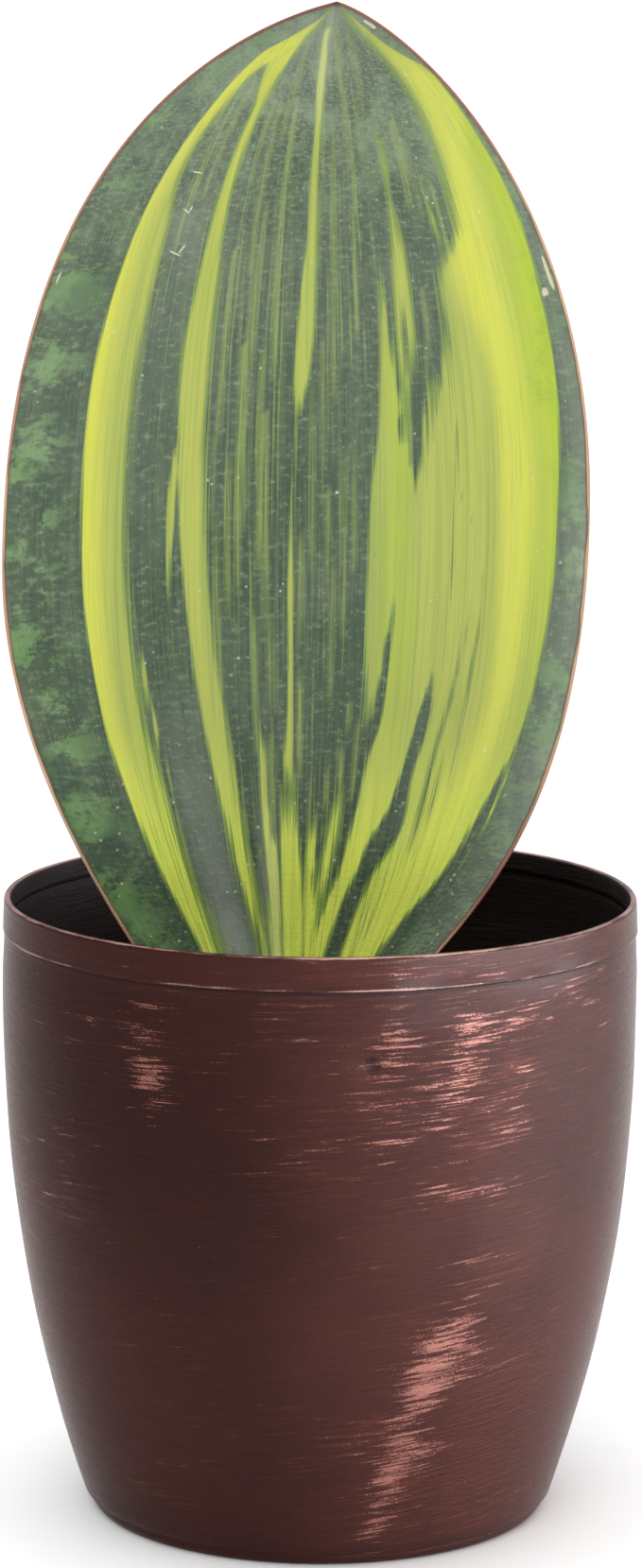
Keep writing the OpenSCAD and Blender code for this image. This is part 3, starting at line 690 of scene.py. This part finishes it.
# Worn places where copper shows: (angle right of the front, height, half width in degrees, half height in
# mm, amount). Those within about 60 degrees of the front are set where highlights fall, so they are
# painted highlight as well as wear.
WORN_AND_HIGHLIT = [
    (27, 61, 8, 5, 0.75), (24, 53, 8, 8, 0.85), (20, 43, 7, 9, 0.85), (17, 30, 6, 8, 0.85),
    (15, 19, 5, 8, 0.85), (13, 9, 4, 6, 0.6), (33, 49, 8, 5, 0.5), (26, 28, 7, 4, 0.6),
    (30, 76, 11, 3, 0.5), (27, 93, 12, 2.5, 0.7), (33, 69, 6, 2, 0.5), (-30, 117, 5, 9, 0.8),
    (-33, 128, 5, 12, 0.62), (-43, 129, 7, 2.5, 0.6), (-50, 123, 9, 2, 0.4), (-22, 121, 4, 3, 0.35),
    (13, 129, 5, 10, 0.85), (26, 128, 5, 12, 0.78), (34, 130, 6, 8, 0.5), (12, 112, 8, 8, 0.45),
    (9, 106, 10, 2.5, 0.35), (24, 116, 7, 7, 0.5), (3, 125, 4, 6, 0.35), (38, 118, 4, 5, 0.5),
    (37, 106, 4, 6, 0.5), (20, 106, 16, 12, 0.3), (60, 132, 12, 7, 0.3), (50, 136, 8, 4, 0.25),
    (-55, 101, 10, 4, 0.45), (-62, 95, 12, 2.5, 0.5), (-40, 96, 14, 1.2, 0.3), (-36, 24, 4, 1.2, 0.6),
    (-48, 52, 12, 1.5, 0.35), (-18, 54, 6, 1.2, 0.3), (42, 133, 8, 5, 0.35), (-15, 122, 4, 4, 0.35),
    (-16, 27, 5, 1.2, 0.4), (17, 5, 6, 0.8, 0.5), (95, 60, 9, 22, 0.7), (120, 120, 12, 10, 0.6),
    (150, 40, 7, 14, 0.8), (185, 112, 14, 8, 0.6), (215, 70, 8, 16, 0.7), (240, 126, 10, 8, 0.6),
    (265, 30, 8, 12, 0.6), (285, 84, 12, 3, 0.5), (170, 76, 12, 3, 0.5), (135, 88, 12, 3, 0.5),
    (200, 24, 6, 9, 0.6),
]
DIMPLE_ANGLE, DIMPLE_Z, DIMPLE_R, DIMPLE_DEPTH = 9, 123.5, 4.5, 0.45
DIMPLE_OUT = 75.2  # mm from the axis to the place that its shade is drawn around

LACQUER_DARK = srgb(47, 20, 17)
LACQUER_WARM = srgb(64, 29, 24)
EDGE_TINT = srgb(210, 200, 198)
COPPER = srgb(144, 92, 82)


def wall_r(z):
    below = POT_R - POT_TAPER * np.clip(1 - z / WIDEST_Z, 0, 1) ** TAPER_POWER
    return below - NECK_DRAW * np.clip(z - WIDEST_Z, 0, None) / (POT_H - WIDEST_Z)


DIMPLE_PLACE = np.array(
    [DIMPLE_OUT * np.sin(DIMPLE_ANGLE * DEG), -DIMPLE_OUT * np.cos(DIMPLE_ANGLE * DEG), DIMPLE_Z]
) * MM


def dents(angle, z):
    """Small hollows and waves of the hand-finished sheet, in mm."""
    wave = 0.1 * np.sin(3 * angle + 1 + z / 31) + 0.07 * np.sin(7 * angle + z / 17)
    wave = wave + 0.04 * np.sin(z / 5.5 + angle)
    away = np.hypot((angle - DIMPLE_ANGLE * DEG) * POT_R, z - DIMPLE_Z)
    return wave - DIMPLE_DEPTH * np.exp(-((away / DIMPLE_R) ** 2))


def wear_and_highlight_field(angle, z):
    """How much copper shows through the lacquer, 0 to about 1, at an angle right of the front: wear, and on
    the front painted highlight.
    """
    total = np.zeros(angle.shape)
    for at, height, wide, tall, amount in WORN_AND_HIGHLIT:
        turn = (angle / DEG - at + 180) % 360 - 180
        total += amount * np.exp(-((turn / wide) ** 2) - ((z - height) / tall) ** 2)
    return np.clip(total, 0, 1.2)


def copper_material(name, lift=0.0):
    """Dark red-brown lacquer brushed round and round over copper, which shows where it is worn and, on the
    front, as painted highlight.
    """
    t = Tree(name)
    wear_and_highlight, inside = t.attribute("wear_and_highlight"), t.attribute("inside")
    across = t.node("ShaderNodeSeparateXYZ", {0: t.place})
    depth, up = across.node.outputs[1], across.node.outputs[2]
    # The brush strokes climb a little to the right, more so lower down
    lean = t.math("SUBTRACT", up, t.times(across, t.step(up, 0.08, 0.12, 0.13, 0.05)))
    turned = t.node("ShaderNodeCombineXYZ", {0: across, 1: depth, 2: lean})
    brush = t.noise(t.stretch(turned, (60, 60, 2300)), detail=4, rough=0.65)
    strokes = t.noise(t.stretch(turned, (100, 100, 1150)), detail=5, rough=0.7)
    bold = t.noise(t.stretch(turned, (40, 40, 420)), detail=3, rough=0.5)
    patches = t.noise(t.stretch(t.place, (24, 24, 45)), detail=4, rough=0.55)
    grit = t.noise(t.place, 2600, detail=2, rough=0.8)
    haze = t.noise(t.place, 14, detail=3)

    streak = t.add(t.times(brush, 0.6), t.times(strokes, 0.85), t.times(bold, 0.15), t.times(grit, 0.4))
    shown = t.step(t.add(t.times(wear_and_highlight, 0.85), t.times(streak, 0.9), lift), 0.68, 1.15)
    rub = t.step(t.add(streak, t.times(patches, 0.9), t.times(wear_and_highlight, 0.5)), 0.4, 1.7, 0, 0.4)
    lacquer = t.mix(t.step(haze, -0.9, 0.9), LACQUER_DARK, LACQUER_WARM)
    lacquer = t.mix(t.step(t.add(brush, t.times(patches, 0.6)), -0.4, 1.4, 0, 0.5), lacquer, srgb(70, 33, 25))
    lacquer = t.mix(t.step(strokes, 0.1, -1.3, 0, 0.45), lacquer, srgb(35, 21, 21))
    colour = t.mix(rub, lacquer, srgb(108, 54, 40))
    right = t.step(across, -0.052, 0.03)
    # Painted shade: the lacquer darkened on the left half of the pot from about 45 mm up, less on the band;
    # the coat is thinned there too
    upper = t.times(t.step(up, 0.045, 0.112), t.step(up, 0.141, 0.137, 0.45, 1))
    upper = t.times(upper, t.step(across, 0.014, -0.022))
    colour = t.mix(t.times(upper, 0.5), colour, srgb(28, 14, 12))
    # Copper shows through: wear, and on the front painted highlight
    colour = t.mix(shown, colour, COPPER)
    flake = t.times(t.step(grit, 0.75, 1.2), t.step(t.add(wear_and_highlight, t.times(patches, 0.3)), -0.1, 0.5), 0.4)
    colour = t.mix(flake, colour, srgb(180, 138, 124))
    # Pale lines on the band's lip and lower edge, painted highlight and rubbed wear; painted shade in the
    # dimple; and a painted shadow under the band
    edge_highlight_and_wear = t.step(t.add(t.attribute("edge_highlight_and_wear"), t.times(streak, 0.4), t.times(patches, 0.35)), 0.35, 0.95)
    colour = t.mix(edge_highlight_and_wear, colour, srgb(172, 134, 126))
    dent = t.node("ShaderNodeVectorMath", {0: t.place, 1: DIMPLE_PLACE}, out=1, operation="DISTANCE")
    dent = t.step(dent, 0.0004, 0.0024, 1, 0)
    colour = t.mix(t.times(dent, 0.5), colour, srgb(30, 17, 17))
    colour = t.mix(t.times(t.attribute("under_band_shadow"), 0.75), colour, srgb(26, 15, 15))
    # Painted shade: the inside darkened to near black
    colour = t.mix(inside, colour, srgb(27, 14, 14))
    metal = t.math("SUBTRACT", 0.9, t.times(inside, 0.6))
    rough = t.add(0.29, t.times(brush, 0.05), t.times(shown, -0.04))
    rough = t.add(rough, t.times(inside, 0.2), t.times(haze, 0.03))
    coat = t.times(t.step(right, 0, 1, 0.14, 0.23), t.math("SUBTRACT", 1.0, inside))
    coat = t.times(coat, t.math("SUBTRACT", 1.0, t.times(upper, 0.4)))
    marks = t.add(t.times(brush, 0.35), t.times(strokes, 0.5), t.times(grit, 0.3))
    height = t.add(marks, t.times(shown, -0.4), t.times(dent, -9.0))
    coated = {"coat_weight": coat, "coat_roughness": 0.22}
    return t.finish(colour, rough, height, 0.00012, metallic=metal, specular_tint=EDGE_TINT, **coated)


def places(z):
    """The angle right of the front and the height of every point, for rows of points at the heights z."""
    angle = np.arange(POT_SEGMENTS) * 2 * np.pi / POT_SEGMENTS
    return np.meshgrid((angle + np.pi) % (2 * np.pi) - np.pi, z)


def build_pot():
    arc = np.linspace(-90, 0, 10) * DEG
    foot_r = POT_R - POT_TAPER - FOOT_ROUND
    dense_z = 139  # the rows lie closer from here up to the band
    wall = np.append(np.linspace(dense_z, BAND_LOW_Z, 8), WALL_TOP_Z)
    wall = np.concatenate([np.linspace(FOOT_ROUND, dense_z - 0.2, 100)[1:], wall])
    inner_round = FOOT_ROUND - POT_SHEET
    disc = np.linspace(0, 1, 8)[:-1]
    parts = [
        (disc * foot_r, np.zeros(7), 0),
        (foot_r + FOOT_ROUND * np.cos(arc), FOOT_ROUND + FOOT_ROUND * np.sin(arc), 0),
        (wall_r(wall), wall, 0),
        (wall_r(wall[::-1]) - POT_SHEET, wall[::-1], 1),
        (foot_r + inner_round * np.cos(arc[::-1]), FOOT_ROUND + inner_round * np.sin(arc[::-1]), 1),
        (disc[::-1] * foot_r, np.full(7, POT_SHEET), 1),
    ]
    r = np.concatenate([p[0] for p in parts])
    z = np.concatenate([p[1] for p in parts])
    inside = np.concatenate([np.full(len(p[0]), p[2]) for p in parts])
    turn, height = places(z)
    free = np.clip(z / 12, 0, 1) * np.clip((BAND_LOW_Z + 2 - z) / 6, 0, 1) * (r > foot_r)
    radii = r[:, None] + dents(turn, height) * free[:, None]
    points, faces = lathe(radii, height, POT_SEGMENTS)
    pot = make_piece("cover_pot", points, faces, copper_material("lacquered_copper"))
    add_field(pot, "wear_and_highlight", wear_and_highlight_field(turn, height) * (1 - inside[:, None]))
    add_field(pot, "under_band_shadow", np.exp(-(((height - BAND_LOW_Z + 0.35) / 0.4) ** 2)) * (1 - inside[:, None]))
    add_field(pot, "inside", np.repeat(inside, POT_SEGMENTS))
    return finish_piece(pot, "copper_lacquer", "pot_body")


def build_band():
    """The edging band: outer leg, rounded lip and inner leg, with a lower edge that wanders a little."""
    start_r, middle_r = wall_r(BAND_LOW_Z), wall_r(WALL_TOP_Z) - POT_SHEET / 2
    arc = np.linspace(0, 180, 15)[1:-1] * DEG
    low_z = BAND_LOW_Z + BAND_T
    outer_z = np.append(np.linspace(low_z, low_z + 0.8, 6), np.linspace(low_z + 1.2, WALL_TOP_Z, 10))
    inner_low = WALL_TOP_Z - 4.5
    rows = [
        ([start_r - 0.05], [BAND_LOW_Z + 0.1]),
        ([start_r + BAND_T * 0.55, start_r + BAND_T * 0.9], [BAND_LOW_Z, BAND_LOW_Z + BAND_T * 0.35]),
        (np.interp(outer_z, (low_z, WALL_TOP_Z), (start_r + BAND_T, middle_r + LIP_R)), outer_z),
        (middle_r + LIP_R * np.cos(arc), WALL_TOP_Z + LIP_R * np.sin(arc)),
        ([middle_r - LIP_R] * 5, np.linspace(WALL_TOP_Z, inner_low, 5)),
        ([middle_r - LIP_R + BAND_T] * 5, np.linspace(inner_low, WALL_TOP_Z, 5)),
        ([middle_r + POT_SHEET / 2], [WALL_TOP_Z + 0.02]),
    ]
    r = np.concatenate([p[0] for p in rows])
    z = np.concatenate([p[1] for p in rows])
    turn, height = places(z)
    wander = 0.14 * np.sin(5 * turn + 1) + 0.08 * np.sin(13 * turn) + 0.06 * np.sin(31 * turn + 2)
    low = np.clip(1 - (z - BAND_LOW_Z) / 3, 0, 1)[:, None]
    height = height + wander * low
    ripple = 0.05 * np.sin(9 * turn) + 0.05 * np.sin(23 * turn + 1)
    radii = r[:, None] + ripple * low * (r > middle_r)[:, None]
    points, faces = lathe(radii, height, POT_SEGMENTS)
    band = make_piece("edging_band", points, faces, copper_material("lacquered_band", lift=0.06))
    wear_and_highlight = wear_and_highlight_field(turn, np.full_like(turn, 134.0)) * 0.45
    add_field(band, "wear_and_highlight", wear_and_highlight)
    # Pale lines on the lip and along the lower edge: painted highlight and rubbed wear
    lip = np.exp(-(((height - WALL_TOP_Z - 0.65) / 0.28) ** 2))
    seam = np.exp(-(((height - BAND_LOW_Z - 0.45) / 0.3) ** 2))
    seam = seam * (0.55 + 0.45 * np.sin(3 * turn + 1) * np.sin(7 * turn))
    add_field(band, "edge_highlight_and_wear", np.maximum(lip * 0.7, seam))
    # The inner leg takes the inside's painted shade
    add_field(band, "inside", np.repeat(r < middle_r - LIP_R * 0.75, POT_SEGMENTS).astype(float))
    return finish_piece(band, "copper_lacquer", "rim_band")


# ---------------------------------------------------------------- grow pot, mix and toppings

mix_low, mix_high = box_mm("potting_mix")
MIX_R = mix_high[0]
MIX_EDGE_Z = 87.3
MOUND_R, MOUND_H = 45.5, 2.0
rng = np.random.default_rng(7)


def bumps(x, y, scale, seed):
    """A smooth noise over a plane, mostly from -1 to 1. scale is about the pitch of its waves in mm."""
    made = np.random.default_rng(seed)
    total = np.zeros(np.shape(x))
    for _ in range(9):
        way, phase = made.uniform(0, 2 * np.pi, 2)
        pitch = scale * made.uniform(0.6, 1.7)
        total = total + np.sin((x * np.cos(way) + y * np.sin(way)) * 2 * np.pi / pitch + phase)
    return total / 4


def mix_height(x, y):
    r = np.hypot(x, y)
    mound = MOUND_H * np.cos(np.pi / 2 * np.clip(r / MOUND_R, 0, 1)) ** 2
    rough = 0.5 * bumps(x, y, 11, 1) + 0.35 * bumps(x, y, 4.5, 2) + 0.22 * bumps(x, y, 2.2, 3)
    return MIX_EDGE_Z + mound + rough * 0.8 - 0.4


def mix_material():
    t = Tree("potting_mix")
    crumb = t.node("ShaderNodeTexVoronoi", {"Vector": t.place, "Scale": 700.0}, out="Color")
    tone = t.node("ShaderNodeSeparateColor", {0: crumb})
    lump = t.noise(t.place, 260, detail=5, rough=0.7)
    damp = t.noise(t.place, 40, detail=3)
    colour = t.mix(tone, srgb(38, 27, 20), srgb(78, 56, 40))
    colour = t.mix(t.step(lump, 0.3, 1.2, 0, 0.6), colour, srgb(110, 82, 56))
    colour = t.mix(t.step(damp, -0.5, 0.8, 0, 0.6), colour, srgb(34, 24, 18))
    height = t.add(lump, t.times(tone, 0.8))
    return t.finish(colour, t.add(0.9, t.times(damp, 0.05)), height, 0.0008)


def build_mix():
    rings, segments = 110, 300
    reach = MIX_R - 0.15  # just clear of the grow pot's wall
    r = np.linspace(0, reach, rings)
    angle = np.arange(segments) * 2 * np.pi / segments
    turn, radius = np.meshgrid(angle, r)
    top = mix_height(radius * np.sin(turn), -radius * np.cos(turn))
    top[0] = top[0].mean()
    # Up the middle of the underside, out along it, up the side and in over the top
    floor_r = 44.6
    under = np.linspace(0, floor_r, 6)
    side = np.linspace(mix_low[2], MIX_EDGE_Z - 2, 12)
    side_r = floor_r + (reach - floor_r) * (side - mix_low[2]) / (MIX_EDGE_Z - mix_low[2])
    radii = np.concatenate([np.repeat(np.append(under, side_r[1:])[:, None], segments, 1), radius[::-1]])
    heights = np.concatenate(
        [np.repeat(np.append(np.full(6, mix_low[2]), side[1:])[:, None], segments, 1), top[::-1]]
    )
    points, faces = lathe(radii, heights, segments)
    body = make_piece("potting_mix_body", points, faces, mix_material())
    return finish_piece(body, "potting_mix", "potting_mix")


def ball(rows, columns):
    """Points of a unit ball and its faces, ready to be pushed into a lump."""
    polar = np.linspace(-90, 90, rows) * DEG
    radii = np.repeat(np.cos(polar)[:, None], columns, 1)
    radii[[0, -1]] = 0
    heights = np.repeat(np.sin(polar)[:, None], columns, 1)
    return lathe(radii, heights, columns)


def lumps(name, spots, sizes, flats, material, rows=9, columns=12, jag=0.2):
    """Many uneven grains as one piece. flats is each grain's height over its width."""
    unit, faces = ball(rows, columns)
    points, all_faces = [], []
    for n, (spot, size, flat) in enumerate(zip(spots, sizes, flats)):
        knobs = rng.normal(size=(6, 3))
        knobs /= np.linalg.norm(knobs, axis=1, keepdims=True)
        push = 1 + jag * np.sum(np.cos(3.2 * (unit @ knobs.T)), axis=1, keepdims=True) / 2
        shape = unit * push * (1, rng.uniform(0.6, 1), flat) * size
        tilt = rng.normal(scale=0.35, size=2)
        turn = Matrix.Rotation(rng.uniform(0, 6.3), 3, "Z")
        turn = turn @ Matrix.Rotation(tilt[0], 3, "X") @ Matrix.Rotation(tilt[1], 3, "Y")
        points.append(shape @ np.array(turn).T + spot)
        all_faces += (np.array([f + [f[-1]] * (4 - len(f)) for f in faces]) + n * len(unit)).tolist()
    all_faces = [list(dict.fromkeys(f)) for f in all_faces]
    return make_piece(name, np.concatenate(points), all_faces, material)


def islands(node):
    """The centre and half size, in mm, of each separate solid in a CAD node."""
    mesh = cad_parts[node].data
    points = np.array([v.co for v in mesh.vertices]) / MM
    keys, first = np.unique(np.round(points, 3), axis=0, return_inverse=True)
    first = first.ravel()
    group = np.arange(len(keys))
    edges = first[np.array([e.vertices for e in mesh.edges])]
    while True:
        low = np.minimum(group[edges[:, 0]], group[edges[:, 1]])
        new = group.copy()
        np.minimum.at(new, edges[:, 0], low)
        np.minimum.at(new, edges[:, 1], low)
        if (new == group).all():
            break
        group = new
    found = []
    for g in np.unique(group):
        own = keys[group == g]
        found.append(((own.min(0) + own.max(0)) / 2, (own.max(0) - own.min(0)) / 2))
    return found


def perlite_material():
    t = Tree("perlite")
    pores = t.noise(t.place, 1400, detail=4, rough=0.7)
    stain = t.noise(t.place, 300, detail=2)
    colour = t.mix(t.step(pores, 0.2, -1.2), srgb(226, 222, 208), srgb(164, 150, 130))
    colour = t.mix(t.step(stain, 0.1, 1.3, 0, 0.4), colour, srgb(176, 156, 124))
    return t.finish(colour, t.add(0.9, t.times(stain, 0.04)), pores, 0.0004)


def build_perlite():
    found = islands("perlite")
    spots = np.array([centre for centre, _ in found])
    sizes = np.array([half[0] * 1.05 for _, half in found])
    flats = rng.uniform(0.7, 1, len(found))
    made = lumps("perlite_granules", spots, sizes, flats, perlite_material(), rows=13, columns=18, jag=0.22)
    return finish_piece(made, "perlite", "perlite")


def crumb_material():
    t = Tree("mix_crumbs")
    grain = t.noise(t.place, 420, detail=4, rough=0.65)
    tone = t.noise(t.place, 95, detail=1)
    colour = t.mix(t.step(tone, -0.8, 0.8), srgb(40, 28, 21), srgb(104, 74, 50))
    colour = t.mix(t.step(grain, 0.1, 1.2, 0, 0.5), colour, srgb(136, 104, 74))
    return t.finish(colour, t.add(0.88, t.times(grain, 0.05)), grain, 0.0004)


def scatter(count, reach):
    """Places on the mix, even over its area, clear of the plant's foot."""
    r = np.sqrt(rng.uniform(0, 1, count)) * reach
    a = rng.uniform(0, 2 * np.pi, count)
    x, y = r * np.cos(a), r * np.sin(a)
    clear = np.hypot(x - STALK_X, (y - STALK_Y) * 1.2) > 13.5
    return x[clear], y[clear]


def build_crumbs():
    x, y = scatter(900, MIX_R - 2.5)
    sizes = 0.5 + 1.3 * rng.power(0.5, len(x)) * rng.uniform(0.3, 1, len(x))
    flats = rng.uniform(0.35, 0.9, len(x))
    spots = np.stack([x, y, mix_height(x, y) + sizes * flats * 0.25], -1)
    made = lumps("mix_crumbs", spots, sizes, flats, crumb_material(), rows=6, columns=8, jag=0.28)
    return finish_piece(made, "potting_mix")


def bark_material():
    t = Tree("bark")
    fibre = t.noise(t.stretch(t.place, (900, 900, 260)), detail=4, rough=0.65)
    tone = t.noise(t.place, 120, detail=2)
    colour = t.mix(t.step(tone, -0.8, 0.8), srgb(72, 44, 28), srgb(126, 84, 54))
    colour = t.mix(t.step(fibre, 0.1, 1.3, 0, 0.6), colour, srgb(156, 116, 82))
    return t.finish(colour, t.add(0.82, t.times(tone, 0.05)), fibre, 0.0005)


CHIP_HALF_SIZE, CHIP_LIFT = (4.9, 3.0, 0.95), 0.5


def build_chips():
    """Bark chips: flat, split slabs with worn corners, where the CAD's chips lie."""
    unit, faces = ball(12, 20)
    slab = np.sign(unit) * np.abs(unit) ** 0.45
    slab /= np.maximum(1, np.linalg.norm(slab[:, :2], axis=1, keepdims=True) ** 0.55)
    points, all_faces = [], []
    for n, (centre, _) in enumerate(islands("bark_chips")):
        split = 1 + 0.14 * np.sin(5 * unit[:, :1] + n) * np.cos(4 * unit[:, 1:2] + 2 * n)
        shape = slab * split * CHIP_HALF_SIZE
        shape[:, 2] += 0.25 * np.sin(shape[:, 0] * 1.3 + n) + 0.12 * np.sin(shape[:, 1] * 3.1)
        turn = Matrix.Rotation(n * 1.1, 3, "Z") @ Matrix.Rotation(0.13 * np.sin(n * 2.0), 3, "X")
        points.append(shape @ np.array(turn).T + centre + (0, 0, CHIP_LIFT))
        all_faces += [[i + n * len(unit) for i in f] for f in faces]
    made = make_piece("bark_slabs", np.concatenate(points), all_faces, bark_material())
    return finish_piece(made, "bark", "bark_chips")


def finish_grow_pot():
    t = Tree("grow_pot_plastic")
    fine = t.noise(t.place, 900, detail=2)
    flow = t.noise(t.stretch(t.place, (30, 30, 8)), detail=3)
    dust = t.noise(t.place, 60, detail=4, rough=0.6)
    colour = t.mix(t.step(dust, 0.2, 1.2, 0, 0.35), srgb(26, 26, 28), srgb(74, 66, 58))
    rough = t.add(0.45, t.times(dust, 0.1), t.times(flow, 0.04))
    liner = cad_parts["nursery_pot"]
    coat_node(liner, t.finish(colour, rough, t.add(fine, flow), 0.00006))
    soften(liner, 0.35 * MM)


def soften(piece, width):
    bevel = piece.modifiers.new("soft_edges", "BEVEL")
    bevel.width = width
    bevel.segments = 3
    bevel.limit_method = "ANGLE"
    bevel.angle_limit = 50 * DEG
    bevel.harden_normals = True


# ---------------------------------------------------------------- scale leaves, rhizome and roots


def sheath_material():
    t = Tree("scale_leaf")
    ribs = t.attribute("ribs")
    tip = t.attribute("tip")
    mottle = t.noise(t.place, 180, detail=4, rough=0.6)
    colour = t.mix(t.step(mottle, -0.8, 0.9), srgb(106, 112, 62), srgb(140, 124, 78))
    colour = t.mix(t.step(ribs, 0.0, 1.0, 0, 0.4), colour, srgb(84, 84, 50))
    colour = t.mix(t.step(t.add(tip, t.times(mottle, 0.15)), 0.45, 0.95), colour, srgb(120, 88, 58))
    colour = t.mix(t.step(t.add(tip, t.times(mottle, 0.1)), 0.85, 1.0), colour, srgb(74, 50, 34))
    height = t.add(t.times(ribs, 0.8), t.times(mottle, 0.4))
    return t.finish(colour, t.add(0.55, t.times(mottle, 0.06)), height, 0.0003)


def build_sheath(node, bearing, wrap, bend, material):
    """A pointed scale leaf that clasps the stalk's foot, with a dry tip."""
    low, high = box_mm(node)
    rows, columns, wide, deep, thick = 70, 40, 10.2, 8.4, 1.5
    t = (np.linspace(0, 1, rows) ** 0.8)[:, None, None]
    side = np.array([0, 1])[None, :, None]
    across = np.linspace(-1, 1, columns)[None, None, :] * np.where(side == 0, 1, -1)
    half = wrap * np.clip(1 - t, 0, 1) ** 0.6
    angle = (bearing + half * across) * DEG
    body = thick * (1 - 0.6 * t) * np.sqrt(np.clip(1 - np.abs(across) ** 4 * 0.9, 0, 1))
    out = side * body + bend * t**2 + 0.25 * np.sin(across * 14) * 0.2 * (1 - t)
    x = STALK_X + (wide + out) * np.cos(angle)
    y = STALK_Y + (deep + out) * np.sin(angle)
    z = low[2] + (high[2] - low[2]) * t + 0 * angle
    points = np.stack([x, y, z], -1).reshape(-1, 3)
    made = make_piece(node + "_scale", points, tube_faces(rows, 2 * columns), material)
    add_field(made, "tip", (t + 0 * angle).ravel())
    add_field(made, "ribs", (0.5 + 0.5 * np.cos(across * 30) + 0 * angle).ravel())
    return finish_piece(made, "sheath", node)


def root_material():
    t = Tree("root_skin")
    rings = t.noise(t.stretch(t.place, (300, 300, 600)), detail=3)
    soil = t.noise(t.place, 130, detail=4, rough=0.6)
    colour = t.mix(t.step(soil, -0.5, 1.0), srgb(206, 184, 142), srgb(140, 104, 70))
    colour = t.mix(t.step(rings, 0.2, 1.3, 0, 0.4), colour, srgb(112, 80, 54))
    return t.finish(colour, t.add(0.75, t.times(soil, 0.05)), rings, 0.0003)


def rhizome_material():
    t = Tree("rhizome_skin")
    rings = t.noise(t.stretch(t.place, (220, 220, 500)), detail=4)
    spots = t.noise(t.place, 90, detail=3)
    colour = t.mix(t.step(spots, -0.6, 1.0), srgb(212, 138, 64), srgb(168, 96, 44))
    colour = t.mix(t.step(rings, 0.3, 1.4, 0, 0.5), colour, srgb(120, 72, 40))
    return t.finish(colour, t.add(0.6, t.times(spots, 0.06)), rings, 0.0004)


def finish_roots():
    root, rhizome = root_material(), rhizome_material()
    for name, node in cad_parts.items():
        if name == "rhizome" or name.startswith("root_"):
            coat_node(node, rhizome if name == "rhizome" else root)


# ---------------------------------------------------------------- stage


# (axis, from, to, strength below, strength above)
WORLD_LIGHT = [("Y", 0.5, 0.97, 0.15, 1.1), ("Z", 0.25, 0.85, 0.15, 1.9)]
FLOOR = 12000  # mm from the middle to an edge
CAMERA_PLACE, LOOK_DOWN, ROLL = (0, -1.2106, 0.3858), 9.895, 0.287


def build_stage():
    t = Tree("studio_floor")
    grain = t.noise(t.place, 30, detail=2)
    pale = t.mix(t.step(grain, -1, 1), (0.93, 0.93, 0.93), (0.95, 0.95, 0.95))
    paper = t.shade(base_color=pale, roughness=0.9, specular_ior_level=0.1)
    corners = [(-FLOOR, -FLOOR, 0), (FLOOR, -FLOOR, 0), (FLOOR, FLOOR, 0), (-FLOOR, FLOOR, 0)]
    make_piece("floor", corners, [(0, 1, 2, 3)], paper)

    # A white backdrop, with light from behind and overhead and little from the front
    world = bpy.data.worlds.new("studio")
    world.use_nodes = True
    t = world.node_tree
    way = t.nodes.new("ShaderNodeTexCoord")
    split = t.nodes.new("ShaderNodeSeparateXYZ")
    t.links.new(way.outputs["Generated"], split.inputs[0])
    strength = t.nodes.new("ShaderNodeLightPath").outputs["Is Camera Ray"]
    for axis, low, high, dim, bright in WORLD_LIGHT:
        ramp = t.nodes.new("ShaderNodeMapRange")
        for key, value in ((1, low), (2, high), (3, dim), (4, bright)):
            ramp.inputs[key].default_value = value
        t.links.new(split.outputs[axis], ramp.inputs["Value"])
        brightest = t.nodes.new("ShaderNodeMath")
        brightest.operation = "MAXIMUM"
        t.links.new(ramp.outputs[0], brightest.inputs[0])
        t.links.new(strength, brightest.inputs[1])
        strength = brightest.outputs[0]
    t.links.new(strength, t.nodes["Background"].inputs["Strength"])
    t.nodes["Background"].inputs["Color"].default_value = (1, 1, 1, 1)
    bpy.context.scene.world = world
    bpy.context.scene.view_settings.view_transform = "Standard"


def soft_box(name, place, aim, width, height, watts, colour=(1, 1, 1), lit=()):
    """An area light. Where lit names pieces, it lights only those, and only they block it."""
    light = bpy.data.lights.new(name, "AREA")
    light.shape = "RECTANGLE"
    light.size, light.size_y, light.energy, light.color = width, height, watts, colour
    lamp = bpy.data.objects.new(name, light)
    lamp.location = place
    lamp.rotation_euler = (Vector(aim) - Vector(place)).to_track_quat("-Z", "Y").to_euler()
    bpy.context.scene.collection.objects.link(lamp)
    if lit:
        chosen = bpy.data.collections.new(name + "_lights")
        lamp.light_linking.receiver_collection = chosen
        lamp.light_linking.blocker_collection = chosen
        for piece in lit:
            chosen.objects.link(piece)


def build_camera():
    """1.21 m in front, a little above the leaf's tip, looking 9.9 degrees down."""
    camera = bpy.data.cameras.new("camera")
    camera.lens, camera.sensor_width = 119.35, 36
    camera.clip_start, camera.clip_end = 0.05, 60
    view = bpy.data.objects.new("camera", camera)
    look = Matrix.Rotation((90 - LOOK_DOWN) * DEG, 4, "X") @ Matrix.Rotation(ROLL * DEG, 4, "Z")
    view.matrix_world = Matrix.Translation(CAMERA_PLACE) @ look
    bpy.context.scene.collection.objects.link(view)
    bpy.context.scene.camera = view


build_camera()
build_stage()
middle = (0, 0, 0.16)
soft_box("front_top", (-0.4, -1.9, 1.2), middle, 1.5, 1.0, 14)
pot_pieces = [build_pot(), build_band()]
soft_box("pot_right", (1.18, -0.46, -0.04), (0, 0, 0.06), 2.3, 0.9, 90, (0.76, 0.93, 1), pot_pieces)
finish_grow_pot()
build_mix()
build_crumbs()
build_perlite()
build_chips()
build_leaf()
scale_skin = sheath_material()
build_sheath("sheath_front", 262, 68, 4, scale_skin)
build_sheath("sheath_back", 86, 72, 3, scale_skin)
finish_roots()
